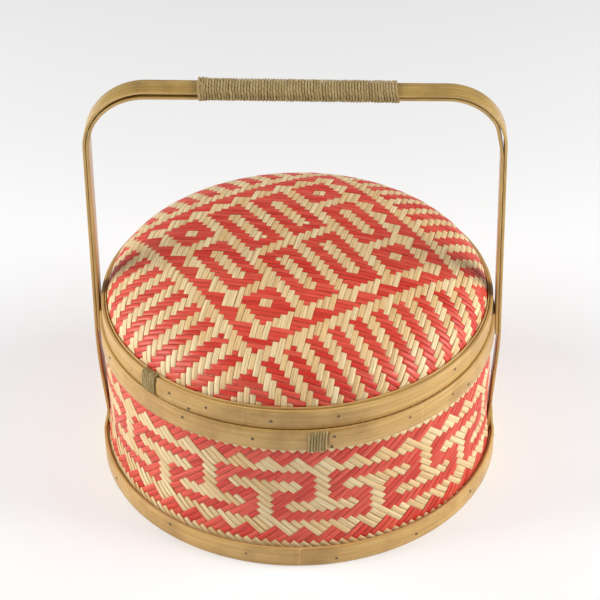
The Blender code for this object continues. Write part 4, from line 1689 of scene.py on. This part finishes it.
RIM_LASHING_ANGLE = math.radians(-82.8)
LID_LASHING_ANGLE = math.radians(-134.4)
LASHING_HALF_SPAN = 7.45 * MM
BASE_SEAM = math.radians(-87.6)
RIM_NAILS = ((-156.4, 111.6), (-121.7, 111.2), (-100.5, 108.3), (-78.2, 111.3), (-78.9, 103.0), (-55.6, 110.3),
             (-39.2, 108.7), (-31.4, 105.0), (18.0, 108.0), (47.0, 110.0), (74.0, 107.0), (103.0, 110.5),
             (131.0, 108.0), (160.0, 109.5))
BASE_NAILS = ((-154.7, 6.7), (-127.2, 10.8), (-103.1, 7.6), (-77.9, 4.6), (-53.5, 5.4), (-30.3, 8.0), (-4.0, 7.5),
              (20.0, 7.0), (46.0, 8.5), (71.0, 6.5), (97.0, 8.0), (122.0, 7.0), (148.0, 8.5), (176.0, 7.0))
LID_NAILS = ((-126.3, 126.0), (-119.8, 119.6), (-114.2, 125.4), (-95.4, 123.4), (-76.7, 125.6), (-37.6, 126.9),
             (-8.0, 125.0), (22.0, 124.0), (54.0, 126.0), (85.0, 123.5), (117.0, 125.5), (149.0, 124.5),
             (-171.0, 125.5))


def place_splints(pieces: Sequence[bpy.types.Object], node: str, body: Body) -> None:
    """Put woven pieces in a CAD node's place on its body."""
    for piece in pieces:
        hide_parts(node)
        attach(piece, body.value)


def report(name: str, pieces: Sequence[bpy.types.Object]) -> None:
    """Log what a class has made."""
    for piece in pieces:
        triangles = sum(len(polygon.vertices) - 2 for polygon in piece.data.polygons)
        LOG.info("%s: %s, %d triangles", name, piece.name, triangles)


def main() -> None:
    """Build the dressed basket round the CAD model."""
    logging.basicConfig(level=logging.INFO, format="%(message)s")
    splints = {Splint.NATURAL: NATURAL_SPLINT.material(), Splint.DYED: DYED_SPLINT.material()}
    hoop_finish, handle_finish = HOOP_STRIP.material(), HANDLE_STRIP.material()
    cord_finish, nail_finish = JUTE_CORD.material(), NailFinish().material()
    strips, cords, nails = strip_tree(), cord_tree(), nail_tree()

    wall = WallWeave().build(strips, splints)
    place_splints(wall, "bin_wall", Body.BASKET)
    report("wall", wall)
    dome = DomeWeave().build(strips, splints)
    place_splints(dome, "lid_dome", Body.LID)
    report("dome", dome)
    floor = FloorWeave().build(strips, splints[Splint.NATURAL])
    place_splints([floor], "bin_floor", Body.BASKET)
    report("floor", [floor])

    rim, lid = ring_of("rim_hoop"), ring_of("lid_hoop")
    rim_lap = Lap(RIM_LASHING_ANGLE + LASHING_HALF_SPAN / rim.outer)
    lid_lap = Lap(LID_LASHING_ANGLE + LASHING_HALF_SPAN / lid.outer)
    rim_hoop = Hoop("rim_hoop", Body.BASKET, lap=rim_lap)
    base_hoop = Hoop("base_hoop", Body.BASKET, seam=BASE_SEAM, pinch=1.0 * MM)
    lid_hoop = Hoop("lid_hoop", Body.LID, lap=lid_lap)
    hoops = [
        rim_hoop,
        Hoop("rim_inner_hoop", Body.BASKET),
        Hoop("lid_collar", Body.BASKET),
        base_hoop,
        Hoop("base_inner_hoop", Body.BASKET),
        lid_hoop,
        Hoop("lid_inner_hoop", Body.LID),
        Hoop("lid_edge_band", Body.LID, edge=0.3 * MM),
    ]
    base_band = RingSize(139.1 * MM, 139.95 * MM, 0.5 * MM, 14.2 * MM)
    leg_gap = math.asin(10.5 * MM / base_band.outer)
    for name, middle in (("base_band_front", -math.pi / 2), ("base_band_rear", math.pi / 2)):
        reach = math.pi / 2 - leg_gap
        hoops.append(Hoop(name, Body.BASKET, arcs=((middle - reach, middle + reach),), shape=base_band,
                          edge=0.25 * MM, bow=0.0))
    report("hoops", [hoop.build(hoop_finish) for hoop in hoops])
    for name in ("floor_slat_front", "floor_slat_middle", "floor_slat_rear"):
        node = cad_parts[name]
        node.data.materials.clear()
        node.data.materials.append(hoop_finish)

    report("handle", Handle().build(strips, handle_finish))
    report("winding", [GripWinding().build(cords, cord_finish)])
    lashings = [
        Lashing("rim_lashing", Body.BASKET, RIM_LASHING_ANGLE, rim.inner - 1.9 * MM, rim.outer + 1.9 * MM,
                rim.bottom - 1.9 * MM, rim.top - 0.3 * MM),
        Lashing("lid_lashing", Body.LID, LID_LASHING_ANGLE, lid.inner - 1.9 * MM, lid.outer + 1.9 * MM,
                lid.bottom + 0.3 * MM, lid.top + 1.9 * MM),
    ]
    report("lashings", [lashing.build(cords, cord_finish) for lashing in lashings])

    basket_nails = Nails("basket_nails", Body.BASKET)
    basket_nails.on_hoop(rim_hoop, RIM_NAILS)
    basket_nails.on_hoop(base_hoop, BASE_NAILS)
    handle = Handle()
    for leg in handle.legs:
        for height in (97.5 * MM, 108.5 * MM):
            way = Vector((leg.side, 0.0, 0.0))
            basket_nails.spots.append((way * handle.face(leg, height) + Vector((0.0, 0.0, height)), way))
    lid_nails = Nails("lid_nails", Body.LID, seed=5)
    lid_nails.on_hoop(lid_hoop, LID_NAILS)
    report("nails", [basket_nails.build(nails, nail_finish), lid_nails.build(nails, nail_finish)])

    Studio().build()


if __name__ == "__main__":
    main()
